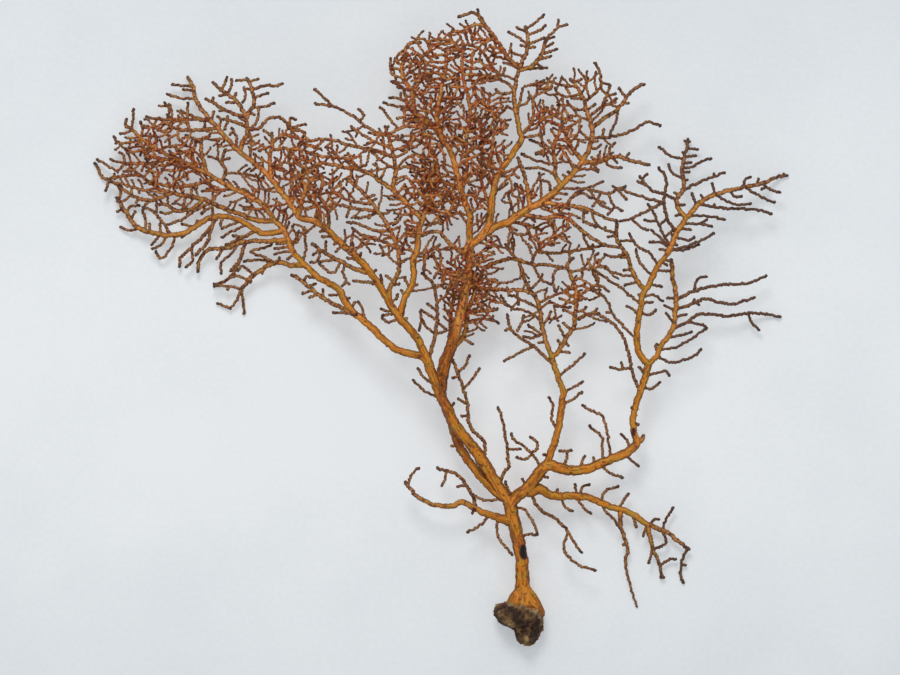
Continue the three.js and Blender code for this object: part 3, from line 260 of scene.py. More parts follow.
# Each limb has a name, the limb that carries it, and its routes, one a line.
# A line may start with widths from root to tip, then z and heights after the root.
# A line with no width is a twig. Its first place joins the nearest route above it.
LIMBS = """
limb trunk on stone
7.4/6.8/6.4/6.4 z15 523,608 522,575 522,560 519,545 516,530 512,515 510,503
18/12/8 z10 523,603 523,595 522,586
517,506 525,510 530,517 537,532 538,536
520,538 530,534 537,536
limb low_left on trunk
4.8/3.4/2.8/1.8 z14 511,522 500,518 490,515 480,511 472,507 462,502 455,505 435,505 418,497 404,481
408,485 412,474 420,467
2.2/1.8 475,509 474,500 466,485 458,475 443,470 436,467
446,472 444,482 441,487
465,486 456,487
474,508 472,515
489,516 482,524 474,529 466,533
498,518 497,530 499,539 505,546 513,556
limb left_main on trunk
6.4/6.2/5.4/5 z26 510,505 500,490 485,465 474,449 463,435 455,424 449,411 440.5,396 433.5,378 428,362
5.2/4.8/5.2/6.2 z14/18 506,500 488,484 475,469.5 465,456 458,443 452.5,425 447.5,411 441,394 442,380 444,366
2/1.8 z17 482,465 482,438 476,434 468,418 468,408 463,388 452,358
458,372 464,367 470,354
464,389 476,374 480,367
457,377 451,378
466,404 457,398
467,416 460,416
440,398 430,394 417,384 412,379
436,384 430,382 424,377 417,367
451,408 455,402
455,448 450,446
2/1.6 z20 498,488 503,474 508,468 508,458 505,435 499,410 497,406
507,449 514,449 522,449
504,500 485,500 478,498 472,493
limb right_main on trunk
6.6/6.2 z17 510,505 520,494 528,488 534,480 539,473 546,466
527,486 521,478
541,476 549,478
542,470 536,459 531,453 522,445 512,437 511,432
531,455 526,459 515,457
531,453 537,449 537,443 529,436
515,499 507,487 505,480
limb right_bough on right_main
5.6/5.2/4.8 z14 546,466 568,470 580,470 590,468 600,464 612,459 622,455 632,449 637,443
563,468 567,457 568,451 573,450
568,451 558,451
580,468 583,459 586,455
595,465 593,456
603,461 602,448 603,440 594,430 588,425
610,458 609,445 607,432 601,415 592,411 581,405
630,449 626,439 620,433
601,466 610,473 624,478
625,455 632,461 640,467
limb right_riser on right_bough
3.6/4 z17 637,443 634,432 633,420 636,405 641,390 645,378 648,365
2.4/2 z12 637,442 642,440 644,434
634,425 640,424
632,412 631,406
642,387 651,389 658,384 661,381
646,377 656,373 668,373 670,377
644,375 638,366
2/1.6 z20 640,392 633,375 629,356 623,337 608,320 593,314 577,320
630,368 616,369 609,366
623,367 621,361
limb fan_left on right_riser
4/3 z20 648,365 641,357 637,345 637,332 641,305 643,293 648,286 657,267 663,259 669,251
657,265 650,254 637,246 632,240 629,232
632,241 619,241
652,276 640,263 635,248
641,304 635,300 621,288 604,277 592,268
643,297 637,294
639,316 629,307 625,306
637,340 624,327 612,313 606,299 592,290
610,313 605,312
650,285 663,287
643,297 652,295 661,300 664,302
642,303 654,302
641,312 649,315 657,309
661,262 668,266
655,270 667,271 671,271
664,260 672,262
limb fan_veil on fan_left
2.6/2 z24 645,290 640,285 632,271 626,254 617,241 616,232 617,222
631,270 622,270
634,277 617,274 603,267 596,262 595,256 599,252
637,282 623,286
626,257 619,258
626,253 614,257 603,254
617,236 606,237
616,234 600,228 584,222
605,229 605,226
limb fan_right on right_riser
3.5/2.5 z12 648,365 656,357 660,347 667,338 673,328 675,315 676,303 676,293 673,280 672,267 671,258
675,311 668,307 663,305
674,323 665,312
675,298 666,298
2/1.6 z9 676,300 692,292 714,286 732,284 744,284 762,278 768,275
694,291 698,279 708,276
2/1.6 z16 675,309 690,305 704,299 722,303 732,304 750,299 756,297
694,303 694,298
697,303 700,306
675,317 688,314
2/1.6 z9/0 674,328 686,323 697,315 705,314 728,316 750,313 773,315 783,317
749,313 751,320 761,331
687,322 702,325 707,328
660,350 673,348 691,339 708,327
668,338 686,334 693,331
657,356 669,362 687,359 699,352 702,348
658,351 655,346 659,344
limb fan_top on fan_left
3.5/2.6/1.8 z19/13/0 669,251 672,243 677,232 690,214 702,201 717,194 740,188 763,183 786,175 790,175
671,246 665,238 652,211 647,203
2/1.7 z24 677,232 669,223 664,205 664,195 666,185 664,175 657,167
1.8/1.5 z20 664,203 645,198 622,190 611,186
622,190 626,186
1.8/1.5 z26 663,203 647,211 627,220 618,222
630,219 643,229 649,231
666,218 658,227
656,221 648,221 643,219
669,248 660,238 650,229
669,248 661,243 648,242
669,253 658,249
673,243 678,246
675,235 670,235
665,237 673,230
683,224 699,224 713,227
699,224 708,219
680,229 692,230
676,238 692,239 695,236
688,216 706,216 726,220
1.8/1.6 z9 700,205 722,208 748,209 767,212 773,215
715,207 714,203
697,207 691,192
704,200 700,194
715,195 712,182
716,195 724,200 742,205 752,203
730,191 734,196 743,197
744,187 745,180 752,176
758,184 759,177
745,188 762,197 776,203
763,184 769,188 782,193
766,187 761,190
786,175 784,172
671,253 680,248 700,241 715,233
673,254 683,250 700,244
limb fan_spire on fan_top
2.6/1.7 z14/0 687,218 680,212 677,200 679,195 683,190 682,170 684,160 688,145 689,137
684,159 670,155 661,148 658,146
681,178 672,172 668,163
688,148 700,149
686,157 698,155
687,154 682,151
688,141 684,140
688,141 692,141
683,168 691,167 705,160 713,158
683,163 693,162
683,172 691,172
683,180 689,180
1.8/1.6 z15 682,190 700,182 718,175 726,172
714,177 714,172
1.8/1.6 z18 677,200 666,195 653,191 645,184 639,175
642,179 648,173
647,186 636,181
679,195 673,192
678,205 686,205
681,216 674,216
limb low_right on right_main
5.2/4.1/3.4/1.8 z10/5/4 524,492 530,491 540,489 550,495 572,496 585,497 608,506 632,514 648,525 668,533 678,541 691,551
2/1.6 z10 531,492 537,506 558,521 566,529 577,547 583,554
567,533 564,549 577,564 597,571
557,495 558,488
577,496 575,483
580,496 583,487 591,484
601,503 604,493 614,488 620,486
619,509 623,502 630,493
650,525 656,520 661,520
663,530 668,517 675,507
561,496 565,507 574,512
575,497 586,510 592,515
602,504 606,512 616,522 618,527
633,515 637,529
647,525 646,530 643,538
2.5/1.8/1.1 z3/0 621,510 621,525 628,552 626,562 628,575 635,600 638,609
626,545 622,545
2.6/1.6 z4/1.5 648,525 653,548 661,568 662,580
661,573 665,580
652,549 649,565
660,566 672,560 678,560
656,548 661,548
663,531 666,544 660,548
1.7/1.6 z1/0 688,549 684,558 682,578 685,585
683,565 688,566
limb mid_bough on right_main
4.5/3.4 z18 545,467 550,455 558,430 562,402 563,392 559,380 552,358
2/1.6 z16 553,364 547,359 537,349 510,327 508,320 507,313
533,347 515,355 503,362
516,333 523,319 524,314
510,329 504,331
560,376 575,363 586,353
563,393 584,381
562,405 576,397 583,391
557,431 552,420 552,402 548,396
550,456 542,454
limb mid_west on mid_bough
3/2 z9 552,358 547,345 541,320 540,310 537,300 527,285 519,262
542,334 531,338 522,336
541,333 527,324
546,342 537,343
540,320 523,310 515,309 503,300 501,294
539,309 520,299 508,294
543,326 550,314 551,310
540,309 551,300
539,303 553,296 573,288
549,301 563,307 572,307
limb mid_east on mid_bough
3/2 z24 552,358 558,352 566,338 573,328 575,315 575,288 569,272 567,266 574,257
562,346 557,339
566,341 569,347
559,351 571,353
567,340 558,324
572,331 562,322
575,315 562,309
575,320 595,313 600,314
575,311 582,311 587,306
590,314 598,308
575,304 558,298
576,297 588,299
1.8/1.6 z22 576,296 585,292 596,285 610,292
597,285 598,279 591,270
575,287 584,284 586,280
581,286 592,291
572,281 582,276 581,268
567,269 556,270 553,278 555,293
569,272 590,269 607,266
591,269 587,258
limb centre_stem on left_main
6.6/5.2/4.6 z25 444,366 449,352 458,325 464,295 469,265 470,247
2.2/1.8 z16 449,352 450,330 453,300 456,290
453,295 450,282
465,287 455,282 450,270 444,269
468,272 455,267 446,261
limb inner_stem on centre_stem
2.8/2.4 z15 454,350 461,340 466,328 467,315 476,290 483,270
467,322 483,319 491,320 500,324
491,319 494,315
1.8/1.6 z22 469,311 488,311 499,309
463,338 474,345
475,300 485,296 492,283 495,278
2.4/1.8 z21 477,288 505,290 528,292 536,297
517,291 519,306
507,290 507,286
508,291 509,297
limb cross_branch on inner_stem
2.4/1.8 z16 483,271 497,262 515,259 530,264 548,265 565,268
1.8/1.6 z19 531,263 539,249 545,245 555,245
1.8/1.6 z18 537,252 556,253 580,250 607,245
590,249 584,238 583,233
590,249 594,244
533,265 541,279 553,285
541,279 543,273
541,279 531,289
519,260 508,250 505,243
limb crown_east on centre_stem
4.8/4 z27 470,247 480,238 490,230 508,222 525,211 545,200 560,187
2.2/1.7 z20 508,222 523,224 543,231
508,222 513,229 518,231
505,223 515,234 529,234
524,226 530,238 529,241
529,233 543,244 555,245
2.4/1.8 z22 520,213 540,218 565,218 584,233 604,245 620,248
567,220 568,230
541,218 555,223
548,200 558,210 561,216
527,216 536,223
2.4/1.8 z32 540,203 560,205 588,210 604,218 618,222
592,211 592,217 598,227
583,209 583,224
576,208 588,214
584,222 597,228
1.9/1.6 z33 567,205 571,198 583,190 607,194 626,186
572,198 583,194 592,200
590,191 594,199 606,204
600,193 597,201 612,211
608,194 613,206 623,212
614,208 606,216
617,191 622,196 627,201
597,201 591,208
553,193 568,195
558,188 575,189 588,188 604,181
541,202 540,180 539,172
541,180 549,184 550,192
2.4/2 z33 530,208 526,184 520,164 517,157
520,167 507,173 501,177
522,212 524,196
514,217 508,194
508,194 517,187 514,183
517,187 528,192 533,191
519,165 512,174 497,191
512,174 517,177 520,179
limb crown_east_tip on crown_east
3.4/2.8/1.8 z18/15 560,187 567,180 580,165 588,151 592,130 587,112 583,98 577,87 569,78
2.4/1.8 z33 561,186 555,175 555,162 553,148 556,140 562,126
554,166 533,160 520,154
554,177 542,169 524,169
553,158 541,146 528,140
553,149 568,148
553,147 547,140
545,150 534,155
567,180 562,174
572,174 566,172
574,171 567,157 564,152
568,164 563,161 561,155
575,170 593,170 599,173
2.8/1.8 z12 582,163 600,162 612,157 636,162 651,165
611,158 610,148 616,142
598,162 598,154
597,161 590,157
619,157 620,153
624,158 630,152
605,160 609,166 623,168
612,158 618,164
2.4/1.8 z26 583,161 572,149 563,128 561,120
573,152 580,139
570,143 578,135
566,134 573,124
562,120 573,117
568,119 564,125
562,119 562,112 565,108
565,110 569,118
1.8/1.6 z24 562,128 548,122 536,117
561,119 551,114 545,107
556,139 550,129
590,141 580,128 582,125
591,143 599,141
589,148 597,148 602,144
1.9/1.6 z12 591,138 610,137 632,131 648,122 662,126
602,137 604,128
2.4/1.8 z14 592,128 602,120 619,108 629,94 641,85 646,84
618,110 617,117 609,136
622,103 630,103
626,98 618,87
619,107 610,104 618,98
1.9/1.6 z21 588,117 600,108 607,95 610,84
601,107 610,104
1.9/1.6 z24 585,102 593,95 600,88 600,75 594,62
601,83 610,85
600,88 608,95 617,94
586,110 575,109 566,100
587,110 594,105 596,103
590,120 578,116 573,108
571,106 556,105
559,107 557,118
551,114 552,105
577,87 562,85 550,81 546,77
582,94 560,95 554,87
570,95 565,86
583,99 570,98
573,82 583,79
limb crown_mid on crown_east
4.6/4/3.6 z34 479,239 487,229 492,200 497,178 510,158 521,141
2/1.7 z27 490,208 482,185 482,152 481,128 480,118
2.2/1.7 z38 495,182 491,165 492,150 494,125
limb crown_spire on crown_mid
3/2.4/1.8 z32/28 521,141 519,130 514,92 518,73 528,45 525,26
528,46 517,38 507,32
527,48 519,46
526,33 515,28
527,30 537,22 545,15
527,36 540,31 546,25
527,49 536,48
524,58 508,52
520,66 507,61 491,56
517,70 502,63
514,92 503,95 494,90
515,81 500,75
1.9/1.6 z26 514,90 501,81 479,79
502,78 505,68
2/1.6 z21 501,81 491,66 478,49 465,45 452,49
2.3/1.7 z39/35 518,70 506,57 498,44 486,28 475,15 463,17 457,19
489,36 481,23 477,10
487,33 476,26 466,37 466,42
502,52 488,47
494,41 486,44 484,48
492,40 470,41
2.6/2 z34/37 519,72 532,67 538,61 547,38
546,38 557,29 558,20
557,29 568,26
546,41 555,38
544,51 554,44
540,56 558,50
538,61 552,57
528,46 545,38
535,64 543,69
523,71 548,69
518,115 521,95 523,88
523,88 543,82
2/1.6 z26 520,136 531,124 534,98 545,80
538,90 553,87
535,96 552,89
532,118 541,112 540,106
517,107 527,103 529,97
520,134 538,128
520,139 545,135
516,112 505,107
limb centre_west on centre_stem
4/3.4 z30 470,247 469,232 470,218 464,200 456,170 450,151 444,142
2.4/1.8 z23 461,189 445,183 423,166
2.4/1.8 z26 464,201 446,195 431,190 427,186
2.4/1.8 z22 469,240 463,252 449,243 438,232 420,237
470,228 459,214 438,223 424,225
456,168 468,160 482,154
2/1.8 z35 462,192 466,175 466,138
limb crown_west on centre_west
3/2.4/1.8 z36/34 444,142 437,120 440,97 446,55 445,49
441,75 428,74 420,75
442,80 430,80 419,79
440,86 427,81
440,89 423,87
440,93 432,93
443,70 430,67 424,66
444,64 432,63 421,65 413,59
446,57 434,55 428,46 424,39
446,52 433,46 429,44 442,41 449,42
446,57 457,51 461,50
446,60 460,58
444,69 450,72 460,78
446,50 455,46 451,40 453,29
455,46 462,38
limb crown_far_west on centre_west
3.4/2.8/2 z22/12 444,142 431,125 415,111 412,93 402,75 404,58 409,44 422,42
2/1.8 z17 432,128 424,124 411,110 406,98 404,88
402,80 393,75 390,57
404,85 390,81
411,91 396,87
402,70 391,68
402,65 397,63 397,58 404,50
403,62 410,59
403,70 412,64
403,77 420,66
405,81 412,76
1.8/1.6 z20 412,92 419,75 422,55
413,91 420,88
408,104 399,99 388,98
401,99 401,92
412,107 394,106 382,103
414,111 400,110
429,122 425,108 427,100
limb crown_thread on centre_west
2.2/1.8 z38/36 466,140 470,112 463,78 462,58 465,46
2.2/1.8 z32 470,108 478,101 473,90 480,78
463,60 472,64 483,61
472,64 472,58 475,54
463,76 480,76
463,70 478,70
472,64 470,83
463,80 450,80 444,83
465,89 448,88
2.4/1.8 z29 478,101 492,112 498,119
496,117 507,126
497,118 503,112 508,106
488,109 490,93
484,106 483,88
limb left_high on left_main
4.5/3.6 z29/27/24 430,362 417,338 398,316 380,286 359,259 343,245 316,222 300,218
403,320 407,318 404,324
394,310 385,311 380,308
395,314 381,316
398,320 388,322 381,317
390,302 397,298 398,293
2/1.6 z24 379,284 365,282 352,281
383,290 382,279 380,274
371,275 377,269
359,259 362,252
361,262 352,259 346,258
2.6/2 z17 370,273 355,269 340,261 325,253 311,243
337,260 318,262
346,264 343,271 346,282 341,287
346,282 351,285
341,262 333,273 322,266 319,262
320,252 317,261 309,263
320,250 312,256
326,253 326,240
343,245 335,253
339,242 333,245
333,237 321,237
326,231 319,232
2.3/1.8 z26 318,224 318,210 309,197 307,191
2.3/1.8 z28 329,233 327,208 321,198 322,178 311,169
321,215 315,216
limb left_spray on left_high
3.6/3 z20 300,218 294,209 279,189 267,174 254,163 241,153
2.6/1.8 z26 272,181 270,160 273,143 272,132
2.2/1.8 z15 289,203 292,180 290,165 288,155
3/2 z27 298,216 303,200 310,182 320,175
308,186 301,181
310,182 320,180
308,187 318,186
306,190 320,190
305,194 320,197
2.4/1.8 z19 290,205 297,190 303,177 306,168
1.9/1.6 z22 273,143 283,136 296,138 305,145 305,150
1.9/1.6 z18 271,150 287,149 300,150 320,156
271,146 262,150 258,152
271,137 263,130
289,156 296,160 305,168 315,166
283,194 284,185
267,174 258,168 250,172
290,180 280,178 275,176
289,172 283,176
296,190 290,186
limb left_peak on left_spray
3/2.6/1.8 z13/0 241,153 229,141 216,126 206,115 195,98 192,85 186,75
2.8/1.8 z22/18 241,151 243,143 248,132 247,118 254,105 252,90 248,80 246,77
248,80 235,81
249,82 260,79
2/1.6 z17 252,90 265,86 280,85 284,83
254,98 270,93
253,108 264,107 276,103
259,108 258,119 249,132
250,113 256,116
251,90 245,90 246,96 242,104
245,91 244,86
2.4/1.8 z13 246,118 241,107 233,98 221,90 212,81
222,90 228,76
228,94 232,83 231,78
226,96 218,96
234,99 237,92
237,102 225,103
2.2/1.7 z9 247,118 229,112 212,102 204,98
213,101 213,96
224,111 218,111
2.2/1.7 z16 247,128 238,123 222,119
228,120 228,115
228,121 224,131
219,129 220,118 216,116
211,121 214,110
238,149 234,131 231,127
234,131 229,136
226,139 210,140
2/1.6 z7 211,121 198,118 179,110
2/1.6 z4 209,120 190,119 162,119 144,116
204,120 205,125 203,129
180,119 177,114
2.2/1.6 z6 217,129 190,130 175,128 163,121 157,117
157,118 153,126 157,142
153,126 168,136 169,148
1.9/1.6 z10 189,130 187,120 188,101
167,119 169,110 163,101
195,98 183,98 170,95 165,93
193,90 181,89
192,86 170,84
178,128 178,138 187,145
2/1.7 z12 249,130 260,128 267,120 275,117 285,121 290,130
290,130 291,118 297,120
290,129 300,125 307,124
289,130 305,133 301,138
290,131 301,140 304,143
limb left_low on left_main
4.2/3.6 z24/18/14 424,359 396,349 371,327 346,303 340,291 318,277 302,262
359,314 352,314 332,312
344,299 351,298
341,295 328,295
352,307 356,301
366,322 361,306 358,300
319,278 308,277
limb left_middle on left_low
3.6/3.2/2.8/2.6 z12/11 302,262 290,246 286,234 272,217 262,204 249,196 229,186 208,174
293,252 283,252 273,255
290,247 273,249
288,243 275,244
294,254 286,260
266,209 250,209 242,209
262,204 254,201 245,202
2.2/1.7 z6 215,178 200,183 190,185 168,186 150,181
191,184 191,197
196,184 196,190
182,186 183,193
175,186 173,180
1.7/1.4 z7 255,198 245,190 220,190 205,188
220,190 200,191
2.2/1.8 z15 222,181 225,173 222,160 226,148
225,173 245,174 265,179
222,160 231,158
223,165 215,158 207,156
305,262 306,250 305,240 304,226
limb left_low_tip on left_middle
2.8/2.2/1.8 z9/4 208,174 196,168 180,160 160,151 143,140 131,129 125,125 126,117
131,129 132,120 133,107
131,129 123,133 118,133
140,137 142,129 139,120
141,125 149,126
141,138 130,142 118,142 112,135
117,141 114,144
143,140 134,145
150,145 149,138 150,132
158,150 140,150 125,153
150,150 146,154 145,160
2.2/1.8 z5 190,165 175,161 160,158 152,157 145,161
2.2/1.8 z3 165,159 150,163 135,163 124,163
124,163 121,153 117,152
123,163 115,161 108,158
123,164 117,170 108,166 95,158
117,170 117,173
143,164 141,172
143,164 152,173 154,179
181,162 165,165 150,166
187,166 178,170 160,169
208,174 195,171 182,174
188,172 180,178 172,180
187,173 187,181
2.4/1.8 z15 207,172 203,160 201,148 201,138
201,140 192,138
202,138 211,136
2.2/1.7 z12 197,168 192,155 195,145 196,138
190,158 185,152 178,150 172,145
193,150 190,146 192,139 184,134
203,158 190,150 175,154 168,150
limb left_sweep on left_middle
3/2.6/2 z7/4 275,221 255,220 240,214 225,209 203,199 183,195 162,190 144,179
2/1.7 z3/0 146,181 141,176 120,176 103,178 96,167 93,161
113,177 113,172
2.4/1.8 z4 203,200 190,209 175,210 164,204 157,204
176,210 165,213 158,212
185,196 183,205
157,188 143,190 126,185 108,181
138,188 139,194
131,187 131,195
2.2/1.8 z7 172,193 150,200 135,197 124,190 117,184
140,199 134,203
150,200 143,206
130,195 122,201 115,201
155,199 156,207 155,213
1.8/1.6 z9 210,203 195,210 182,219 166,225
1.8/1.6 z2 141,176 131,168 128,164
limb left_hem on left_middle
3.4/3.2/3/2.2 z8/6/3 281,233 262,233 245,223 230,217 212,217 198,224 186,232 170,235 150,232 138,228 124,210 115,196
1.7/1.6 z0 138,228 128,230 118,226
122,208 115,212
160,234 150,246
167,235 160,245 150,249
175,234 169,250 160,258 154,250
1.9/1.6 z8 170,235 162,222 152,211 141,206
160,233 159,222
149,232 149,222
144,230 145,222 141,208
131,218 135,210
126,213 128,207 140,205
1.8/1.6 z6 117,200 120,190 115,184 108,181 106,186 105,192
193,227 180,223
197,224 196,219
190,230 180,238
212,217 212,207 200,214
2.2/1.7 z3 217,217 206,232 190,248 180,258 178,268
191,247 191,262 184,268
2/1.6 z9 213,217 211,229 207,242 194,256
207,238 202,249
222,217 220,227
240,221 220,229
247,224 232,231 220,238
2.2/1.8 z5 256,231 243,237 230,243 224,246
243,237 231,235
limb left_fringe on left_middle
2.8/1.9 z9/3 287,240 270,241 242,242 226,248 207,250 199,260 197,273
223,249 215,260
238,243 230,255 221,262 221,275
2.2/1.8 z2 245,242 240,258 226,280 212,285
238,264 229,272
limb left_drop on left_low
3/2.4 z8/5 305,265 290,265 278,262 262,269 250,278 241,289
241,289 228,286 212,286
228,286 227,291
1.7/1.5 z0 241,289 230,307 215,303
230,307 229,310
1.7/1.5 z0 241,289 243,305 244,315
250,278 250,284
262,269 262,275
275,263 262,256 250,252 265,247 273,244
271,265 264,260 255,260 242,261
254,275 240,267 237,272
248,280 235,276 226,279
279,262 279,256
limb left_skirt on left_low
2.6/2 z9 357,313 340,307 323,298 308,286 302,281 290,274
318,294 308,298
313,290 301,294
323,298 323,288
304,282 307,276 311,278
309,286 317,283
limb west_riser on left_high
3.6/3.4 z33 400,318 404,300 412,285 414,275 413,265 418,245 418,235 422,221
413,255 409,247 405,238
419,224 405,222 412,234
416,243 410,243
410,288 404,278
405,298 401,289
412,285 419,285
1.9/1.6 z30 416,256 431,250 441,244
437,246 441,260 434,280
430,251 424,265 424,272
431,250 441,270 458,280
limb west_left on west_riser
3/2.8 z34 422,221 415,213 395,192
2.8/1.8 z38 395,192 396,170 392,150 387,132 385,126
2.8/2.2/1.8 z30/26 395,192 382,183 370,174 358,170 345,168 322,164 312,166
396,180 406,178 414,187 422,195 427,208
398,194 406,184
394,159 407,152 410,147
392,151 407,147 414,138 410,133
391,142 404,138
389,137 400,137
396,170 406,160 417,154
412,157 418,165
396,172 403,168 416,169
393,158 375,150
395,170 381,161 370,150
390,148 380,145
1.9/1.6 z37 388,136 397,131 404,128 428,130
399,130 390,120 380,107
404,128 404,112 402,108
404,118 396,120
404,122 412,123
1.9/1.5 z33/30 388,137 374,132 350,115 330,104 324,98
338,108 314,104
327,103 314,89
360,122 364,117 358,109
390,150 372,141 350,127
2.2/1.6 z32/28 393,158 374,151 350,146 328,140 303,143
325,140 314,150
387,137 378,136 368,133
1.9/1.6 z24 361,171 349,160 330,158 309,154
350,160 350,156 347,153
359,168 368,165
371,174 372,169
380,182 384,174
352,170 353,178 357,184
limb west_right on west_riser
2.6/1.8 z27 422,221 428,207 436,193 437,175 434,155 420,142 414,139
428,208 418,204
428,207 420,203 405,190
limb west_stem on left_high
2.6/2 z36/33 390,300 391,286 397,277 399,255 389,228 374,206 360,190 346,179
396,244 401,239 407,232
397,247 404,246
399,254 406,254
398,265 407,259
388,225 399,221 401,217
390,231 400,228
1.9/1.6 z30 390,232 372,230 358,224 346,223
392,238 383,240
1.9/1.6 z31 395,248 376,239 355,231 352,227
354,230 351,247
365,235 359,249
393,281 385,275
392,286 401,284
378,214 362,218 354,218
379,215 389,213 389,210
1.9/1.6 z30 377,212 350,208 331,200 327,189
1.9/1.6 z33 372,205 352,202 338,195 329,187
336,202 328,215
350,208 347,219
370,203 378,199
367,199 376,195
367,199 360,200
376,212 368,220
limb throat_stem on left_main
2.3/1.8 z19 431,352 436,330 437,305 432,283 421,272
435,334 424,324 420,310
422,317 419,332
436,320 420,309
437,311 426,303
437,302 447,293 447,290
434,290 442,284
435,335 448,330
436,322 447,330
"""


def smooth(value, low, high):
    share = np.clip((value - low) / (high - low), 0.0, 1.0)
    return share * share * (3.0 - 2.0 * share)


def place_at(text):
    column, row = (float(word) for word in text.split(","))
    return np.array([(column - ORIGIN_COLUMN) * GRID_STEP, (ORIGIN_ROW - row) * GRID_STEP, 0.0])


class Route:
    """One tapered run of the fan, from its root on the limb that carries it to its tip."""

    def __init__(self, limb, widths=None, heights=None, places=None):
        self.limb = limb
        self.is_twig = widths is None
        self.widths = widths or [TWIG_WIDTH, TWIG_WIDTH]
        self.heights = heights
        self.rests_at_tip = bool(heights) and heights[-1] == 0
        self.places = places
        self.points = None
        self.lead = None
        self.root_height = HOLDFAST_HEIGHT
        self.root_radius = 0.0
        self.sides = TWIG_SIDES


def read_route(line, limb):
    words = line.split(" ")
    widths = None
    heights = None
    if "," not in words[0]:
        widths = [float(word) for word in words.pop(0).split("/")]
    if words[0].startswith("z"):
        heights = [float(word) for word in words.pop(0)[1:].split("/")]
    route = Route(limb, widths, heights, [place_at(word) for word in words])
    if max(route.widths) > STEM_LIMIT:
        route.sides = next(sides for below, sides in STEM_SIDES if max(route.widths) < below)
    return route


class Limb:
    def __init__(self, name, parent):
        self.name = name
        self.parent = parent
        self.routes = []


def read_limbs(text):
    limbs = []
    for line in text.strip().split("\n"):
        words = line.split(" ")
        if words[0] == "limb":
            limbs.append(Limb(words[1], words[3]))
        else:
            limbs[-1].routes.append(read_route(line, limbs[-1]))
    return limbs


def chance(x, y):
    """A share of one that depends only on a place."""
    wave = math.sin(x * 12.9898 + y * 78.233) * 43758.5453
    return wave - math.floor(wave)


def along(values, share):
    position = share * (len(values) - 1)
    index = min(int(position), len(values) - 2)
    return values[index] + (values[index + 1] - values[index]) * (position - index)


def shares_of(places):
    steps = [math.hypot(*(after - before)[:2]) for before, after in zip(places, places[1:])]
    runs = np.concatenate([[0.0], np.cumsum(steps)])
    return runs[-1], runs / runs[-1]


def nearest_on(routes, place):
    """The nearest point, seen from above, on the centre lines of some routes, with the radius there.

    At the end of a route it also gives a point further back inside it, from which a next limb can grow on.
    """
    best = (math.inf, None, 0.0, None)
    for route in routes:
        shares = route.shares
        for i in range(1, len(route.points)):
            start = route.points[i - 1]
            run = route.points[i] - start
            reach = (place[0] - start[0]) * run[0] + (place[1] - start[1]) * run[1]
            share = min(max(reach / (run[0] ** 2 + run[1] ** 2), 0.0), 1.0)
            point = start + run * share
            distance = math.hypot(place[0] - point[0], place[1] - point[1])
            if distance < best[0]:
                whole = shares[i - 1] + (shares[i] - shares[i - 1]) * share
                radius = along(route.widths, whole) / 2
                lead = None
                if i == len(route.points) - 1 and np.linalg.norm(route.points[i] - point) < radius:
                    lead = point - run / np.linalg.norm(run) * radius * LEAD_REACH
                best = (distance, point, radius, lead)
    return best


def samples_of(route, points):
    places = []
    radii = []
    _, shares = shares_of(points)
    for i in range(1, len(points)):
        steps = max(1, math.ceil(np.linalg.norm(points[i] - points[i - 1]) / SAMPLE_STEP))
        for k in range(steps):
            share = shares[i - 1] + (shares[i] - shares[i - 1]) * (k / steps)
            places.append(points[i - 1] + (points[i] - points[i - 1]) * (k / steps))
            radii.append(along(route.widths, share) / 2)
    places.append(points[-1])
    radii.append(along(route.widths, 1) / 2)
    return np.array(places), np.array(radii)


class Crowd:
    """Samples of every route placed so far, with the number of the limb that each belongs to."""

    def __init__(self):
        self.places = np.zeros((0, 3))
        self.radii = np.zeros(0)
        self.limbs = np.zeros(0, dtype=int)

    def add(self, places, radii, limb_number):
        self.places = np.vstack([self.places, places])
        self.radii = np.concatenate([self.radii, radii])
        self.limbs = np.concatenate([self.limbs, np.full(len(radii), limb_number)])

    def clearance(self, places, radii, limb_number, parent_number):
        if len(self.radii) == 0:
            return math.inf
        gaps = np.linalg.norm(places[:, None, :] - self.places[None, :, :], axis=2)
        gaps -= radii[:, None] + self.radii[None, :]
        gaps[:, self.limbs == limb_number] = math.inf
        near_root = np.linalg.norm(places - places[0], axis=1) < ROOT_FREE_RADIUS
        gaps[np.ix_(near_root, self.limbs == parent_number)] = math.inf
        return gaps.min()

    def room(self, places, radius):
        """The smallest gap between some places and every sample."""
        gaps = np.linalg.norm(places[:, None, :] - self.places[None, :, :], axis=2)
        return (gaps - self.radii[None, :]).min() - radius


class Density:
    """How crowded the fan is, seen from above, as a smooth field from 0 to 1."""

    def __init__(self, crowd):
        flat = crowd.places[:, :2]
        self.corner = flat.min(axis=0) - CROWD_MARGIN * CROWD_CELL
        size = np.ceil((flat.max(axis=0) - self.corner) / CROWD_CELL).astype(int) + CROWD_MARGIN
        edges = [self.corner[axis] + np.arange(size[axis] + 1) * CROWD_CELL for axis in range(2)]
        grid, _, _ = np.histogram2d(flat[:, 0], flat[:, 1], bins=edges)
        window = np.ones(CROWD_BLUR) / CROWD_BLUR
        for _ in range(CROWD_BLUR):
            for axis in range(2):
                grid = np.apply_along_axis(np.convolve, axis, grid, window, "same")
        self.grid = smooth(grid / CROWD_CELL**2, CROWD_LOW, CROWD_HIGH)

    def at(self, points):
        place = (points[:, :2] - self.corner) / CROWD_CELL - 0.5
        cell = np.clip(place.astype(int), 0, np.array(self.grid.shape) - 2)
        across, up = np.clip(place - cell, 0, 1).T
        column, row = cell.T
        low = self.grid[column, row] * (1 - across) + self.grid[column + 1, row] * across
        high = self.grid[column, row + 1] * (1 - across) + self.grid[column + 1, row + 1] * across
        return low * (1 - up) + high * up


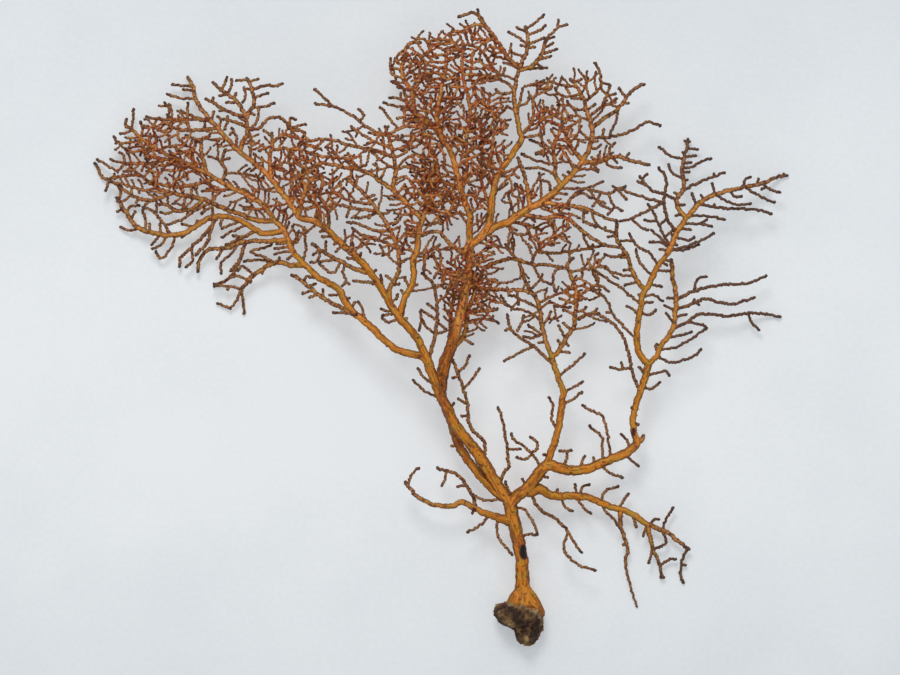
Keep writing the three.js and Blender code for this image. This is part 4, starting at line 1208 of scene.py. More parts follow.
def raised_points(route, lift):
    length, shares = shares_of(route.places)
    tip = route.places[-1]
    lean = (chance(tip[0], tip[1]) * 2 - 1) * min(MOST_LEAN, LEAN_SHARE * length)
    heights = [route.root_height] + (route.heights or [route.root_height + lean])
    lowest = route.widths[-1] / 2
    points = []
    for place, share in zip(route.places, shares):
        rise = smooth(share, 0, ROOT_RUN)
        fall = 1 - smooth(share, 1 - ROOT_RUN, 1) if route.rests_at_tip else 1
        height = along(heights, share) + lift * rise * fall
        points.append(np.array([place[0], place[1], max(height, lowest)]))
    return points


def place_route(route, carriers, numbers, crowd):
    is_first = route.limb.routes[0] is route
    if carriers:
        _, point, radius, lead = nearest_on(carriers, route.places[0])
        route.root_height = point[2]
        route.root_radius = radius
        if max(route.widths) > STEM_LIMIT:
            route.lead = lead
        route.places[0] = np.array([point[0], point[1], 0.0])
    own = numbers[route.limb.name]
    parent = numbers.get(route.limb.parent, -1)
    best = (-math.inf, None)
    for lift in [0] if is_first else LIFTS:
        points = raised_points(route, lift)
        if any(point[2] > HIGHEST for point in points):
            continue
        clear = crowd.clearance(*samples_of(route, points), own, parent)
        if clear > best[0]:
            best = (clear, points)
        if clear >= CLEARANCE:
            break
    route.points = best[1]
    _, route.shares = shares_of(route.points)
    crowd.add(*samples_of(route, route.points), own)


def place_all(limbs):
    crowd = Crowd()
    numbers = {limb.name: i for i, limb in enumerate(limbs)}
    by_name = {limb.name: limb for limb in limbs}
    for twigs in (False, True):
        for limb in limbs:
            parent = by_name.get(limb.parent)
            for route in limb.routes:
                if route.is_twig != twigs:
                    continue
                carrier = parent if limb.routes[0] is route else limb
                carriers = [other for other in carrier.routes if other.points] if carrier else []
                place_route(route, carriers, numbers, crowd)
    return crowd


def thicket_density(point, thickets):
    """How likely a twiglet is to grow at a point, from 0 to 1."""
    best = 0.0
    for place, half_width, half_height, density in thickets:
        away = (point - place_at(place))[:2] / (np.array([half_width, half_height]) * GRID_STEP)
        best = max(best, density * (1 - smooth(math.hypot(*away), *THICKET_EDGE)))
    return best


def twiglet_points(root, forward, flank, length, rng):
    """A short curve that leaves its carrier sideways and bends forward."""
    turn = flank * rng.uniform(*TWIGLET_TURNS)
    slope = rng.uniform(-TWIGLET_SLOPE, TWIGLET_SLOPE)
    points = [root]
    for bend in TWIGLET_BENDS:
        angle = math.atan2(forward[1], forward[0]) + turn * bend
        step = np.array([math.cos(angle), math.sin(angle), slope]) * (length / len(TWIGLET_BENDS))
        points.append(points[-1] + step)
    return [np.array([x, y, min(max(z, TWIGLET_LOWEST), TWIGLET_HIGHEST)]) for x, y, z in points]


def has_room(points, root, carrier, crowd):
    """Whether a twiglet ends inside a thicket and keeps clear of everything outside its carrier."""
    outer, _ = smooth_line(points, ROOM_STEP)
    outer = outer[np.linalg.norm(outer - root, axis=1) > carrier + TWIGLET_FREE]
    if len(outer) == 0 or thicket_density(points[-1], THICKETS) == 0:
        return False
    return crowd.room(outer, TWIGLET_WIDTH / 2) >= TWIGLET_ROOM


def add_twiglet(limb, number, points, carrier, crowd):
    twiglet = Route(limb, [TWIGLET_WIDTH, TWIGLET_WIDTH * TWIGLET_TAPER])
    twiglet.points = points
    twiglet.root_radius = carrier
    limb.routes.append(twiglet)
    crowd.add(*samples_of(twiglet, points), number)


def grow_twiglets(limbs, crowd, rng, thickets, spacing, shortest, longest):
    """Staggered rows of twiglets on every long run through a thicket, wherever there is room."""
    for number, limb in enumerate(limbs):
        for route in list(limb.routes):
            line, at = smooth_line(route.points, BEARER_STEP)
            if at[-1] < TWIGLET_BEARER:
                continue
            directions = np.gradient(line, axis=0)
            flank = 1
            start = route.root_radius + rng.uniform(*TWIGLET_START)
            for place in np.arange(start, at[-1] - TWIGLET_STOP, spacing):
                strayed = place + rng.uniform(-TWIGLET_STRAY, TWIGLET_STRAY)
                index = min(int(np.searchsorted(at, strayed)), len(line) - 1)
                root = line[index]
                if rng.random() > thicket_density(root, thickets):
                    continue
                carrier = along(route.widths, place / at[-1]) / 2
                length = carrier + rng.uniform(shortest, longest)
                flank = -flank
                for side in (flank, -flank):
                    points = twiglet_points(root, directions[index], side, length, rng)
                    if has_room(points, root, carrier, crowd):
                        add_twiglet(limb, number, points, carrier, crowd)
                        break


def smooth_line(points, step):
    """Even points along a curve that passes through the route's points."""
    points = np.array(points)
    steps = np.linalg.norm(np.diff(points, axis=0), axis=1)
    slopes = np.diff(points, axis=0) / steps[:, None]
    tangents = np.vstack([slopes[:1], slopes[-1:]])
    if len(points) > 2:
        before, after = steps[:-1, None], steps[1:, None]
        middle = (slopes[1:] * before + slopes[:-1] * after) / (before + after)
        tangents = np.vstack([slopes[:1], middle, slopes[-1:]])
    t = np.linspace(0, 1, CURVE_STEPS, endpoint=False)[:, None]
    parts = []
    for i, span in enumerate(steps):
        parts.append(
            (2 * t**3 - 3 * t**2 + 1) * points[i]
            + (t**3 - 2 * t**2 + t) * span * tangents[i]
            + (3 * t**2 - 2 * t**3) * points[i + 1]
            + (t**3 - t**2) * span * tangents[i + 1]
        )
    curve = np.vstack(parts + [points[-1:]])
    run = np.concatenate([[0], np.cumsum(np.linalg.norm(np.diff(curve, axis=0), axis=1))])
    count = max(FEWEST_POINTS, int(round(run[-1] / step)) + 1)
    at = np.linspace(0, run[-1], count)
    return np.stack([np.interp(at, run, curve[:, axis]) for axis in range(3)], axis=1), at


def waves(rng, at, lengths):
    """A smooth wandering value along a run, about -1 to 1."""
    total = np.zeros(len(at))
    for length in lengths:
        total += np.sin(at * 2 * math.pi / length + rng.uniform(0, 2 * math.pi))
    return total / len(lengths)


def bump_field(rng, at, angles, radius):
    """Polyp bumps in staggered rows along both flanks, with a few on top."""
    places = np.arange(rng.uniform(*BUMP_START), at[-1] - BUMP_STOP, BUMP_SPACING / 2)
    count = len(places)
    centres = places + rng.normal(0, BUMP_STRAY, count)
    turns = (np.arange(count) % 2) * math.pi + rng.normal(0, BUMP_TURN, count)
    on_top = rng.random(count) < BUMP_TOP_SHARE
    turns[on_top] = math.pi / 2 + rng.normal(0, BUMP_TOP_TURN, on_top.sum())
    strengths = rng.uniform(*BUMP_STRENGTHS, count)
    spread = BUMP_SPREAD * min(1.0, BUMP_FULL_RADIUS / radius)
    near = np.exp(-0.5 * ((at[:, None] - centres[None, :]) / BUMP_LENGTH) ** 2)
    apart = np.angle(np.exp(1j * (angles[:, None] - turns[None, :])))
    return (near * strengths) @ np.exp(-0.5 * (apart / spread) ** 2).T


class Shell:
    """Vertices, faces and named values of a piece, gathered tube by tube."""

    def __init__(self):
        self.vertices = []
        self.faces = []
        # flank holds shade painted on the sides of each tube; red holds how crowded the fan is, for the painted light
        # and reddish patches of its crowded parts
        names = ("age", "bump", "tip", "red", "stain", "wound", "flank", "dull")
        self.values = {name: [] for name in names}
        self.grain = []
        self.count = 0

    def add_tube(self, rings, values, grain):
        """rings is (rings, sides, 3). Both ends close on a point."""
        number, sides = rings.shape[:2]
        first = self.count
        self.vertices.append(rings.reshape(-1, 3))
        ends = np.array([rings[0].mean(axis=0), rings[-1].mean(axis=0)])
        self.vertices.append(ends)
        low = first + np.arange(number - 1)[:, None] * sides
        here = low + np.arange(sides)[None, :]
        after = low + (np.arange(sides) + 1)[None, :] % sides
        quads = np.stack([here, after, after + sides, here + sides], axis=-1).reshape(-1, 4)
        self.faces.extend(quads.tolist())
        root = first + number * sides
        last = first + (number - 1) * sides
        for k in range(sides):
            following = (k + 1) % sides
            self.faces.append([first + following, first + k, root])
            self.faces.append([last + k, last + following, root + 1])
        for name, parts in self.values.items():
            field = np.broadcast_to(values.get(name, 0.0), (number, sides))
            parts.append(np.concatenate([field.reshape(-1), [field[0].mean(), field[-1].mean()]]))
        self.grain.append(np.vstack([grain.reshape(-1, 3), grain[0].mean(axis=0), grain[-1].mean(axis=0)]))
        self.count += number * sides + 2

    def to_object(self, name, material):
        mesh = bpy.data.meshes.new(name)
        vertices = np.vstack(self.vertices) * MM
        vertices[:, 2] = np.maximum(vertices[:, 2], 0.0)
        mesh.from_pydata(vertices.tolist(), [], self.faces)
        for key, parts in self.values.items():
            layer = mesh.attributes.new(key, "FLOAT", "POINT")
            layer.data.foreach_set("value", np.concatenate(parts).astype(np.float32))
        layer = mesh.attributes.new("grain", "FLOAT_VECTOR", "POINT")
        layer.data.foreach_set("vector", np.vstack(self.grain).astype(np.float32).ravel())
        return smooth_object(name, mesh, material)


def smooth_object(name, mesh, material):
    mesh.polygons.foreach_set("use_smooth", [True] * len(mesh.polygons))
    mesh.materials.append(material)
    piece = bpy.data.objects.new(name, mesh)
    bpy.context.collection.objects.link(piece)
    return piece


def frames_along(line):
    forward = np.gradient(line, axis=0)
    forward /= np.linalg.norm(forward, axis=1, keepdims=True)
    side = np.cross(forward, [0.0, 0.0, 1.0])
    side /= np.linalg.norm(side, axis=1, keepdims=True)
    return side, np.cross(side, forward)


def core_radius(width):
    """The radius inside the bumps and nubs."""
    radius = np.asarray(width) / 2
    trim = TWIG_TRIM + (STEM_TRIM - TWIG_TRIM) * smooth(radius, *STEM_BAND)
    return radius - trim - (TRUNK_TRIM - STEM_TRIM) * smooth(radius, *TRUNK_BAND)


def core_along(route, at, rng, parent):
    """The radius of a route's core, spread at its root but never wider than its carrier."""
    widths = np.interp(at / at[-1], np.linspace(0, 1, len(route.widths)), route.widths)
    out = np.clip(at - parent, 0, None)
    is_stem = max(route.widths) > STEM_LIMIT
    lengths, depth = STEM_SWELL if is_stem else TWIG_SWELL
    wider, within = STEM_FLARE if is_stem else TWIG_FLARE
    core = core_radius(widths) * (1 + depth * waves(rng, at, lengths))
    neck = 1
    if not is_stem:
        swell, place, length = TWIG_KNOB
        core = core * (1 + swell * np.exp(-(((at[-1] - at - place) / length) ** 2)))
        thinnest, reach = TWIG_NECK
        neck = thinnest + (1 - thinnest) * smooth(out, 0, reach)
    spread = core * neck * (1 + wider * np.exp(-out / within))
    return np.minimum(spread, np.maximum(core, ROOT_FIT * parent))


def rounded_ends(at, core):
    """A share of the radius that closes both ends in a dome."""
    before = np.clip((core[0] - at) / core[0], 0, DOME_REACH)
    beyond = np.clip((at - at[-1] + core[-1]) / core[-1], 0, DOME_REACH)
    return np.sqrt(1 - before**2) * np.sqrt(1 - beyond**2)


def ridge_field(rng, at, angles, core):
    """Lengthwise ridges and grooves of a stem, as a share of its radius."""
    field = np.zeros((len(at), len(angles)))
    for lobes, depth in RIDGES:
        phase = rng.uniform(0, 2 * math.pi) + RIDGE_WIND * waves(rng, at, RIDGE_WAVES)
        if lobes <= len(angles) / 3:
            field += depth * np.sin(lobes * angles[None, :] + phase[:, None])
    return field * smooth(core, *RIDGE_BAND)[:, None]


def away_from(place, half_width, half_height, points):
    """How far points lie from a place, seen from above, where 1 is the edge of an ellipse round it."""
    centre = place_at(place)
    across = (points[:, :, 0] - centre[0]) / (half_width * GRID_STEP)
    up = (points[:, :, 1] - centre[1]) / (half_height * GRID_STEP)
    return np.hypot(across, up)


def scar_fields(limb_name, points):
    """How dark each point is by its limb's scars, and how far it is sunk."""
    dark = np.zeros(points.shape[:2])
    sunk = np.zeros(points.shape[:2])
    rim_share, rim_place, rim_width = SCAR_RIM
    for name, place, half_width, half_height, depth, darkness in SCARS:
        if name == limb_name:
            away = away_from(place, half_width, half_height, points)
            rim = rim_share * np.exp(-(((away - rim_place) / rim_width) ** 2))
            dark = np.maximum(dark, darkness * smooth(away, *SCAR_FADE))
            sunk += depth * (smooth(away, *SCAR_HOLLOW) - rim)
    return dark, sunk


def stain_field(limb_name, points):
    """How reddish each point is by its limb's stains."""
    stained = np.zeros(points.shape[:2])
    for name, place, half_width, half_height in STAINS:
        if name == limb_name:
            away = away_from(place, half_width, half_height, points)
            stained = np.maximum(stained, smooth(away, *STAIN_FADE))
    return stained


def grain_at(angles, run):
    """Where the streaks of a tube are read: round it, and slowly along it."""
    shape = (len(run), len(angles))
    parts = (np.cos(angles) * GRAIN_ROUND, np.sin(angles) * GRAIN_ROUND, run[:, None])
    return np.stack([np.broadcast_to(part, shape) for part in parts], axis=-1)


def add_nubs(shell, line, at, side, top, core, rng, crowding):
    """Small dark polyp knobs on a stem, most of them along its flanks."""
    forward = np.cross(top, side)
    turns = np.arange(NUB_SIDES) * 2 * math.pi / NUB_SIDES
    dark = np.array([darkness for _, _, darkness in NUB_LEVELS])[:, None]
    for place in np.arange(core[0] + NUB_START, at[-1] - NUB_STOP, NUB_SPACING):
        i = min(int(np.searchsorted(at, place + rng.uniform(-NUB_STRAY, NUB_STRAY))), len(at) - 1)
        angle = rng.integers(2) * math.pi + rng.normal(0, NUB_TURN)
        size = rng.uniform(*NUB_SIZES)
        height = rng.uniform(*NUB_HEIGHTS)
        outward = math.cos(angle) * side[i] + math.sin(angle) * top[i]
        across = np.cross(outward, forward[i])
        ring = np.cos(turns)[:, None] * across + np.sin(turns)[:, None] * forward[i]
        rings = []
        for share, level, _ in NUB_LEVELS:
            centre = line[i] + outward * (core[i] * NUB_ROOT + level * height)
            rings.append(centre + ring * size * share)
        # red: how crowded the fan is, where the knobs are painted lighter as painted light against the shade
        values = {"age": NUB_AGE, "bump": dark, "red": crowding[i]}
        shell.add_tube(np.array(rings), values, np.array(rings) * NUB_GRAIN)


def route_tube(shell, route, rng, density):
    """One run of the fan as a closed tube, with its swellings, bumps, ridges, scars and knobs."""
    is_stem = max(route.widths) > STEM_LIMIT
    step = STEM_STEP if is_stem else TWIG_STEP
    if route.sides == STEM_SIDES[-1][1]:
        step = TRUNK_STEP
    points = route.points if route.lead is None else [route.lead] + route.points
    line, at = smooth_line(points, step)
    parent = float(core_radius(2 * route.root_radius))
    side, top = frames_along(line)
    sway = waves(rng, at, SWAY_WAVES) * min(SWAY_MOST, SWAY_SHARE * at[-1])
    if is_stem:
        sway = sway * smooth(at[-1] - at, 0, SWAY_EASE)
    line = line + side * (sway * smooth(at, parent, parent + SWAY_EASE))[:, None]
    side, top = frames_along(line)
    crowding = density.at(line)
    core = core_along(route, at, rng, parent)
    angles = np.arange(route.sides) * 2 * math.pi / route.sides
    ridges = ridge_field(rng, at, angles, core)
    bumps = bump_field(rng, at, angles, core[-1]) * (1 - smooth(core, *BUMP_BAND))[:, None]
    radius = core[:, None] * (1 + ridges) + BUMP_HEIGHT * bumps
    across = np.cos(angles)[None, :, None] * side[:, None, :]
    across = across + np.sin(angles)[None, :, None] * top[:, None, :]
    dark, sunk = scar_fields(route.limb.name, line[:, None, :] + across * radius[:, :, None])
    is_upper = np.sin(angles)[None, :] > UPPER_SIDE
    radius = (radius - sunk * is_upper) * rounded_ends(at, core)[:, None]
    rings = line[:, None, :] + across * radius[:, :, None]
    rings[:, :, 2] = np.maximum(rings[:, :, 2], 0.0)
    tip_reach = min(TIP_LONGEST, TIP_SHARE * at[-1])
    dull = smooth(line[:, 0], *DULL_SIDE) * (1 - smooth(core, *DULL_BAND))
    # The shade painted on the flanks starts at a different angle on stems than on twigs
    shade_from = STEM_FLANK_SHADE_FROM if is_stem else TWIG_FLANK_SHADE_FROM
    values = {
        "age": smooth(core, *AGE_BAND)[:, None],
        "bump": np.clip(BUMP_SHADE * bumps, 0, 1),
        "tip": smooth(at[-1] - at, tip_reach, TIP_END)[:, None],
        "dull": dull[:, None],
        "red": crowding[:, None],
        "stain": stain_field(route.limb.name, rings),
        # red: how crowded the fan is, for painted light and reddish patches there; flank: shade painted on the sides
        # of the tube
        "wound": dark * is_upper,
        "flank": smooth(np.abs(np.cos(angles)), shade_from, 1.0)[None, :],
    }
    shell.add_tube(rings, values, grain_at(angles, at * GRAIN_ALONG + rng.uniform(0, GRAIN_OFFSET)))
    if is_stem:
        add_nubs(shell, line, at, side, top, core, rng, crowding)


# Colours are given as the eye sees them, from 0 to 255
def seen(red, green, blue):
    channels = []
    for value in (red, green, blue):
        share = value / 255
        channels.append(share / 12.92 if share <= 0.04045 else ((share + 0.055) / 1.055) ** 2.4)
    return (*channels, 1.0)


class Nodes:
    """Short calls that add and join shader nodes."""

    def __init__(self, name):
        self.material = bpy.data.materials.new(name)
        self.material.use_nodes = True
        self.tree = self.material.node_tree
        self.shader = self.tree.nodes["Principled BSDF"]

    def set(self, socket, value):
        if isinstance(value, bpy.types.NodeSocket):
            self.tree.links.new(value, socket)
        else:
            socket.default_value = value

    def attribute(self, name, output="Fac"):
        node = self.tree.nodes.new("ShaderNodeAttribute")
        node.attribute_name = name
        return node.outputs[output]

    def place(self):
        return self.tree.nodes.new("ShaderNodeTexCoord").outputs["Object"]

    def noise(self, vector, scale, detail=3.0, roughness=0.55):
        node = self.tree.nodes.new("ShaderNodeTexNoise")
        self.set(node.inputs["Vector"], vector)
        node.inputs["Scale"].default_value = scale
        node.inputs["Detail"].default_value = detail
        node.inputs["Roughness"].default_value = roughness
        return node.outputs["Fac"]

    def math(self, operation, first, second=0.0, clamp=False):
        node = self.tree.nodes.new("ShaderNodeMath")
        node.operation = operation
        node.use_clamp = clamp
        self.set(node.inputs[0], first)
        self.set(node.inputs[1], second)
        return node.outputs[0]

    def vector(self, operation, first, second=(0.0, 0.0, 0.0), output="Vector"):
        node = self.tree.nodes.new("ShaderNodeVectorMath")
        node.operation = operation
        self.set(node.inputs[0], first)
        self.set(node.inputs[1], second)
        return node.outputs[output]

    def ranged(self, value, low, high, new_low=0.0, new_high=1.0):
        node = self.tree.nodes.new("ShaderNodeMapRange")
        self.set(node.inputs["Value"], value)
        node.inputs["From Min"].default_value = low
        node.inputs["From Max"].default_value = high
        node.inputs["To Min"].default_value = new_low
        node.inputs["To Max"].default_value = new_high
        return node.outputs["Result"]

    def mix(self, share, first, second):
        node = self.tree.nodes.new("ShaderNodeMixRGB")
        self.set(node.inputs["Fac"], share)
        self.set(node.inputs["Color1"], first)
        self.set(node.inputs["Color2"], second)
        return node.outputs["Color"]

    def ramp(self, value, stops):
        node = self.tree.nodes.new("ShaderNodeValToRGB")
        elements = node.color_ramp.elements
        while len(elements) < len(stops):
            elements.new(0.5)
        for element, (position, color) in zip(elements, stops):
            element.position = position
            element.color = color
        self.set(node.inputs["Fac"], value)
        return node.outputs["Color"]

    def bump(self, height, strength, distance):
        node = self.tree.nodes.new("ShaderNodeBump")
        node.inputs["Strength"].default_value = strength
        node.inputs["Distance"].default_value = distance
        self.set(node.inputs["Height"], height)
        return node.outputs["Normal"]


# Colours of the branches. The rind and the scabs go through several, by age and by depth.
RIND_COLORS = (
    (0.0, seen(208, 142, 86)),
    (0.3, seen(222, 150, 68)),
    (0.62, seen(226, 148, 42)),
    (1.0, seen(218, 132, 26)),
)
SCAB_COLORS = ((0.0, seen(138, 70, 40)), (0.5, seen(92, 42, 30)), (0.85, seen(30, 19, 16)))
OLIVE = seen(190, 152, 44)
# Painted light where the fan is crowded, against the shade of its packed strands: a paler rind, and reddish patches
# that are partly the rind's own colour and partly painted bounce light
CROWD_PAINTED_LIGHT_RIND = seen(244, 176, 88)
PALE_RUST_AND_PAINTED_BOUNCE = seen(250, 168, 80)
DEEP_RUST_AND_PAINTED_BOUNCE = seen(208, 76, 34)
STAIN = seen(162, 74, 30)
# Painted shade on the flanks of the branches
STREAK = seen(114, 54, 14)
FLANK_PAINTED_SHADE = seen(84, 42, 22)
OPEN_KNOB = seen(76, 30, 26)
# Knobs painted lighter where the fan is crowded, as painted light against the shade there
CROWD_PAINTED_LIGHT_KNOB = seen(124, 48, 28)
SPECK = seen(90, 34, 16)
DULL_TWIG = seen(84, 58, 48)
TWIG_TIP = seen(74, 54, 48)
CRUST = seen(120, 62, 34)

# How fine the noises on the branches are
PATCH_SCALE = 55
MOTTLE_SCALE = 240
SPECK_SCALE = 420
FINE_SCALE = 900
FIBRE_SCALE = 2.2

# Gloss and relief of the branches
BRANCH_ROUGHNESS = (0.5, 0.72)
BRANCH_GLOSS = 0.35
BRANCH_RELIEF = 0.5
BRANCH_DEPTH = 0.0003


def rind_skin(n, patch, mottle, fine):
    """Tan rind on twigs and golden rind on old stems, with olive patches."""
    shade = n.math("ADD", n.attribute("age"), n.ranged(patch, 0.3, 0.7, -0.2, 0.2))
    shade = n.math("ADD", shade, n.ranged(fine, 0.35, 0.65, -0.25, 0.25), clamp=True)
    olive = n.math("MULTIPLY", n.ranged(mottle, 0.5, 0.62), 0.65)
    return n.mix(olive, n.ramp(shade, RIND_COLORS), OLIVE)


def crowd_lit_rusty_skin(n, skin, crowding, mottle, fine):
    """Rind painted lighter where the fan is crowded, as painted light against the shade of its packed strands, with
    reddish patches there that are partly the rind's own colour and partly painted bounce light, and reddish stains.
    """
    rust_and_painted_bounce = n.mix(n.ranged(fine, 0.44, 0.6), PALE_RUST_AND_PAINTED_BOUNCE, DEEP_RUST_AND_PAINTED_BOUNCE)
    red = n.math("MULTIPLY", crowding, n.ranged(mottle, 0.44, 0.58, 1.0, 0.2))
    skin = n.mix(n.math("MULTIPLY", crowding, 0.6), skin, CROWD_PAINTED_LIGHT_RIND)
    skin = n.mix(red, skin, rust_and_painted_bounce)
    stain = n.math("MULTIPLY", n.attribute("stain"), n.ranged(fine, 0.4, 0.62, 0.9, 0.2))
    return n.mix(stain, skin, STAIN)


def streaked_and_flank_shaded_skin(n, skin, crowding, fibre, fine):
    """Dark streaks, most of all on old stems, and shade painted on the flanks, weaker where the fan is crowded."""
    streak = n.math("MULTIPLY", n.ranged(fibre, 0.46, 0.6), n.ranged(n.attribute("age"), 0.0, 1.0, 0.25, 0.8))
    skin = n.mix(streak, skin, STREAK)
    # Painted shade on the flanks, broken up by fine noise and weaker where the fan is crowded
    flank = n.math("MULTIPLY", n.attribute("flank"), n.ranged(fine, 0.35, 0.6, 1.0, 0.5))
    flank = n.math("MULTIPLY", flank, n.ranged(crowding, 0.0, 1.0, 1.0, 0.55))
    return n.mix(flank, skin, FLANK_PAINTED_SHADE)


def knobbed_skin(n, skin, crowding, mottle, specks):
    """Dark red polyp bumps and knobs, painted lighter where the fan is crowded as painted light against the shade
    there, and dark specks between them.
    """
    bumps = n.math("MULTIPLY", n.attribute("bump"), n.ranged(mottle, 0.35, 0.6, 1.0, 0.8))
    skin = n.mix(bumps, skin, n.mix(crowding, OPEN_KNOB, CROWD_PAINTED_LIGHT_KNOB))
    return n.mix(n.math("MULTIPLY", n.ranged(specks, 0.6, 0.65), 0.7), skin, SPECK)


def dulled_skin(n, skin, patch, fine):
    """Grey-brown twigs on the right side of the fan, and grey-brown tips."""
    dull = n.math("MULTIPLY", n.attribute("dull"), n.ranged(fine, 0.35, 0.6, 0.45, 0.85))
    skin = n.mix(dull, skin, DULL_TWIG)
    ends = n.math("MULTIPLY", n.attribute("tip"), n.ranged(patch, 0.3, 0.6, 0.6, 0.95))
    return n.mix(ends, skin, TWIG_TIP)


def scarred_skin(n, skin, fine):
    """Scars, black in the middle and brown and crusted round it."""
    wound = n.attribute("wound")
    crust = n.math("MULTIPLY", n.ranged(fine, 0.45, 0.6), n.ranged(wound, 0.4, 0.9, 0.5, 0.0))
    scab = n.mix(crust, n.ramp(wound, SCAB_COLORS), CRUST)
    return n.mix(n.ranged(wound, 0.0, 0.45), skin, scab)


def branch_material(name):
    """The dried rind of the fan, matte and finely fibrous."""
    n = Nodes(name)
    place = n.place()
    patch = n.noise(place, PATCH_SCALE, 3)
    mottle = n.noise(place, MOTTLE_SCALE, 3)
    specks = n.noise(place, SPECK_SCALE, 2)
    fine = n.noise(place, FINE_SCALE, 3)
    fibre = n.noise(n.attribute("grain", "Vector"), FIBRE_SCALE, 4, 0.65)
    # How crowded the fan is, which brings painted light and reddish patches, and weakens the painted flank shade
    crowding = n.attribute("red")
    skin = rind_skin(n, patch, mottle, fine)
    skin = crowd_lit_rusty_skin(n, skin, crowding, mottle, fine)
    skin = streaked_and_flank_shaded_skin(n, skin, crowding, fibre, fine)
    skin = knobbed_skin(n, skin, crowding, mottle, specks)
    skin = dulled_skin(n, skin, patch, fine)
    skin = scarred_skin(n, skin, fine)
    n.set(n.shader.inputs["Base Color"], skin)
    n.set(n.shader.inputs["Roughness"], n.ranged(fine, 0.3, 0.7, *BRANCH_ROUGHNESS))
    n.shader.inputs["Specular IOR Level"].default_value = BRANCH_GLOSS
    height = n.math("ADD", n.math("MULTIPLY", fibre, 0.6), fine)
    n.set(n.shader.inputs["Normal"], n.bump(height, BRANCH_RELIEF, BRANCH_DEPTH))
    return n.material


# Colours of the stone. They go from its hollows to its crests.
STONE_COLORS = (
    (0.34, seen(54, 36, 22)),
    (0.48, seen(98, 68, 40)),
    (0.62, seen(134, 102, 60)),
    (0.8, seen(186, 158, 106)),
)
STONE_SPOT = seen(120, 66, 52)
STONE_PORE = seen(34, 24, 18)
STONE_LACE = seen(196, 172, 128)
GOLDEN_RIND = seen(186, 108, 28)
BROWN_RIND = seen(120, 62, 18)

# How fine the noises on the stone are
BROAD_SCALE = 170
SPOT_SCALE = 300
RIND_SCALE = 700
GRIT_SCALE = 1100

# Gloss and relief of the stone, and how much its crests lighten it
STONE_ROUGHNESS = 0.92
STONE_RELIEF = 0.9
STONE_DEPTH = 0.0007
STONE_CREST = 0.22


def stone_material():
    """Encrusted stone with pale crests, reddish spots and dark pores, under the pale rim of the rind."""
    n = Nodes("encrusted_stone")
    place = n.place()
    broad = n.noise(place, BROAD_SCALE, 5, 0.65)
    fine = n.noise(place, GRIT_SCALE, 4, 0.7)
    level = n.math("ADD", broad, n.math("MULTIPLY", n.attribute("crest"), STONE_CREST))
    color = n.ramp(level, STONE_COLORS)
    spots = n.math("MULTIPLY", n.ranged(n.noise(place, SPOT_SCALE, 3), 0.56, 0.64), 0.5)
    color = n.mix(spots, color, STONE_SPOT)
    pores = n.math("MULTIPLY", n.ranged(fine, 0.54, 0.66), 0.6)
    color = n.mix(pores, color, STONE_PORE)
    lace = n.math("MULTIPLY", n.attribute("rim"), n.ranged(fine, 0.38, 0.55, 1.0, 0.2))
    color = n.mix(lace, color, STONE_LACE)
    rind = n.mix(n.ranged(n.noise(place, RIND_SCALE, 3), 0.4, 0.62), GOLDEN_RIND, BROWN_RIND)
    color = n.mix(n.attribute("rind"), color, rind)
    n.set(n.shader.inputs["Base Color"], color)
    n.shader.inputs["Roughness"].default_value = STONE_ROUGHNESS
    n.set(n.shader.inputs["Normal"], n.bump(n.math("ADD", fine, broad), STONE_RELIEF, STONE_DEPTH))
    return n.material


# The stone, as three rough lobes in one skin
STONE_LOBES = (
    {"place": "519.5,614.5", "half": (13.2, 7.6, 9.6), "height": 7.9},
    {"place": "528,626", "half": (8.4, 5.4, 7.6), "height": 6.8},
    {"place": "527,635", "half": (5.7, 5.6, 6.9), "height": 6.0},
)
STONE_HEART = "523,623"
STONE_HEART_HEIGHT = 7.0
STONE_FINENESS = 5

# Where the rind of the holdfast ends on the stone, from left to right
RIND_EDGE = "502,590 506,600 515,604 521,604 527,605 533,608 539,613 545,621 549,627"
RIND_HEIGHT = 0.55
RIND_FADE = (-0.1, 0.5)
RIND_RAGS = ((0.5, 1.3), (1.7, 0.5))
RIM_REACH = 1.5
RIM_SHARE = 0.3

# The stone's relief. Each kind has how fine it is, its noise settings where it has any, and its depth.
# Crags and pits are weaker under the rind, and all of it is sunk a little.
SWELLS = (0.17, (0.7, 2.1, 4), 1.5)
CRAGS = (0.4, (0.8, 2.2, 4, 0.9, 2.0), 0.75)
PITS = (1.2, 0.9)
GRIT = (3.1, 0.15)
RIND_SOFTENS = 0.75
RELIEF_SUNK = 1.0

# The higher this is, the sharper the creases between the lobes
LOBE_SHARPNESS = 8


def rind_at(point):
    """How far a point of the stone lies under the holdfast's rind, and within its pale rim."""
    edge = [place_at(word) for word in RIND_EDGE.split(" ")]
    level = np.interp(point[0], [place[0] for place in edge], [place[1] for place in edge])
    ragged = sum(noise.noise(Vector(point) * scale) * depth for scale, depth in RIND_RAGS)
    inside = point[1] - level + ragged
    rind = float(smooth(inside, *RIND_FADE))
    rim = float(smooth(abs(inside + RIM_SHARE * RIM_REACH), RIM_REACH, RIM_SHARE * RIM_REACH))
    return rind, rim


def reach_of(lobe, heart, direction):
    """How far a ray from the stone's heart runs before it leaves a lobe."""
    half = np.array(lobe["half"])
    centre = place_at(lobe["place"])
    centre[2] = lobe["height"]
    start = (heart - centre) / half
    ray = direction / half
    a = ray @ ray
    b = start @ ray
    c = start @ start - 1
    inside = b * b - a * c
    return (-b + math.sqrt(inside)) / a if inside > 0 else 0.0


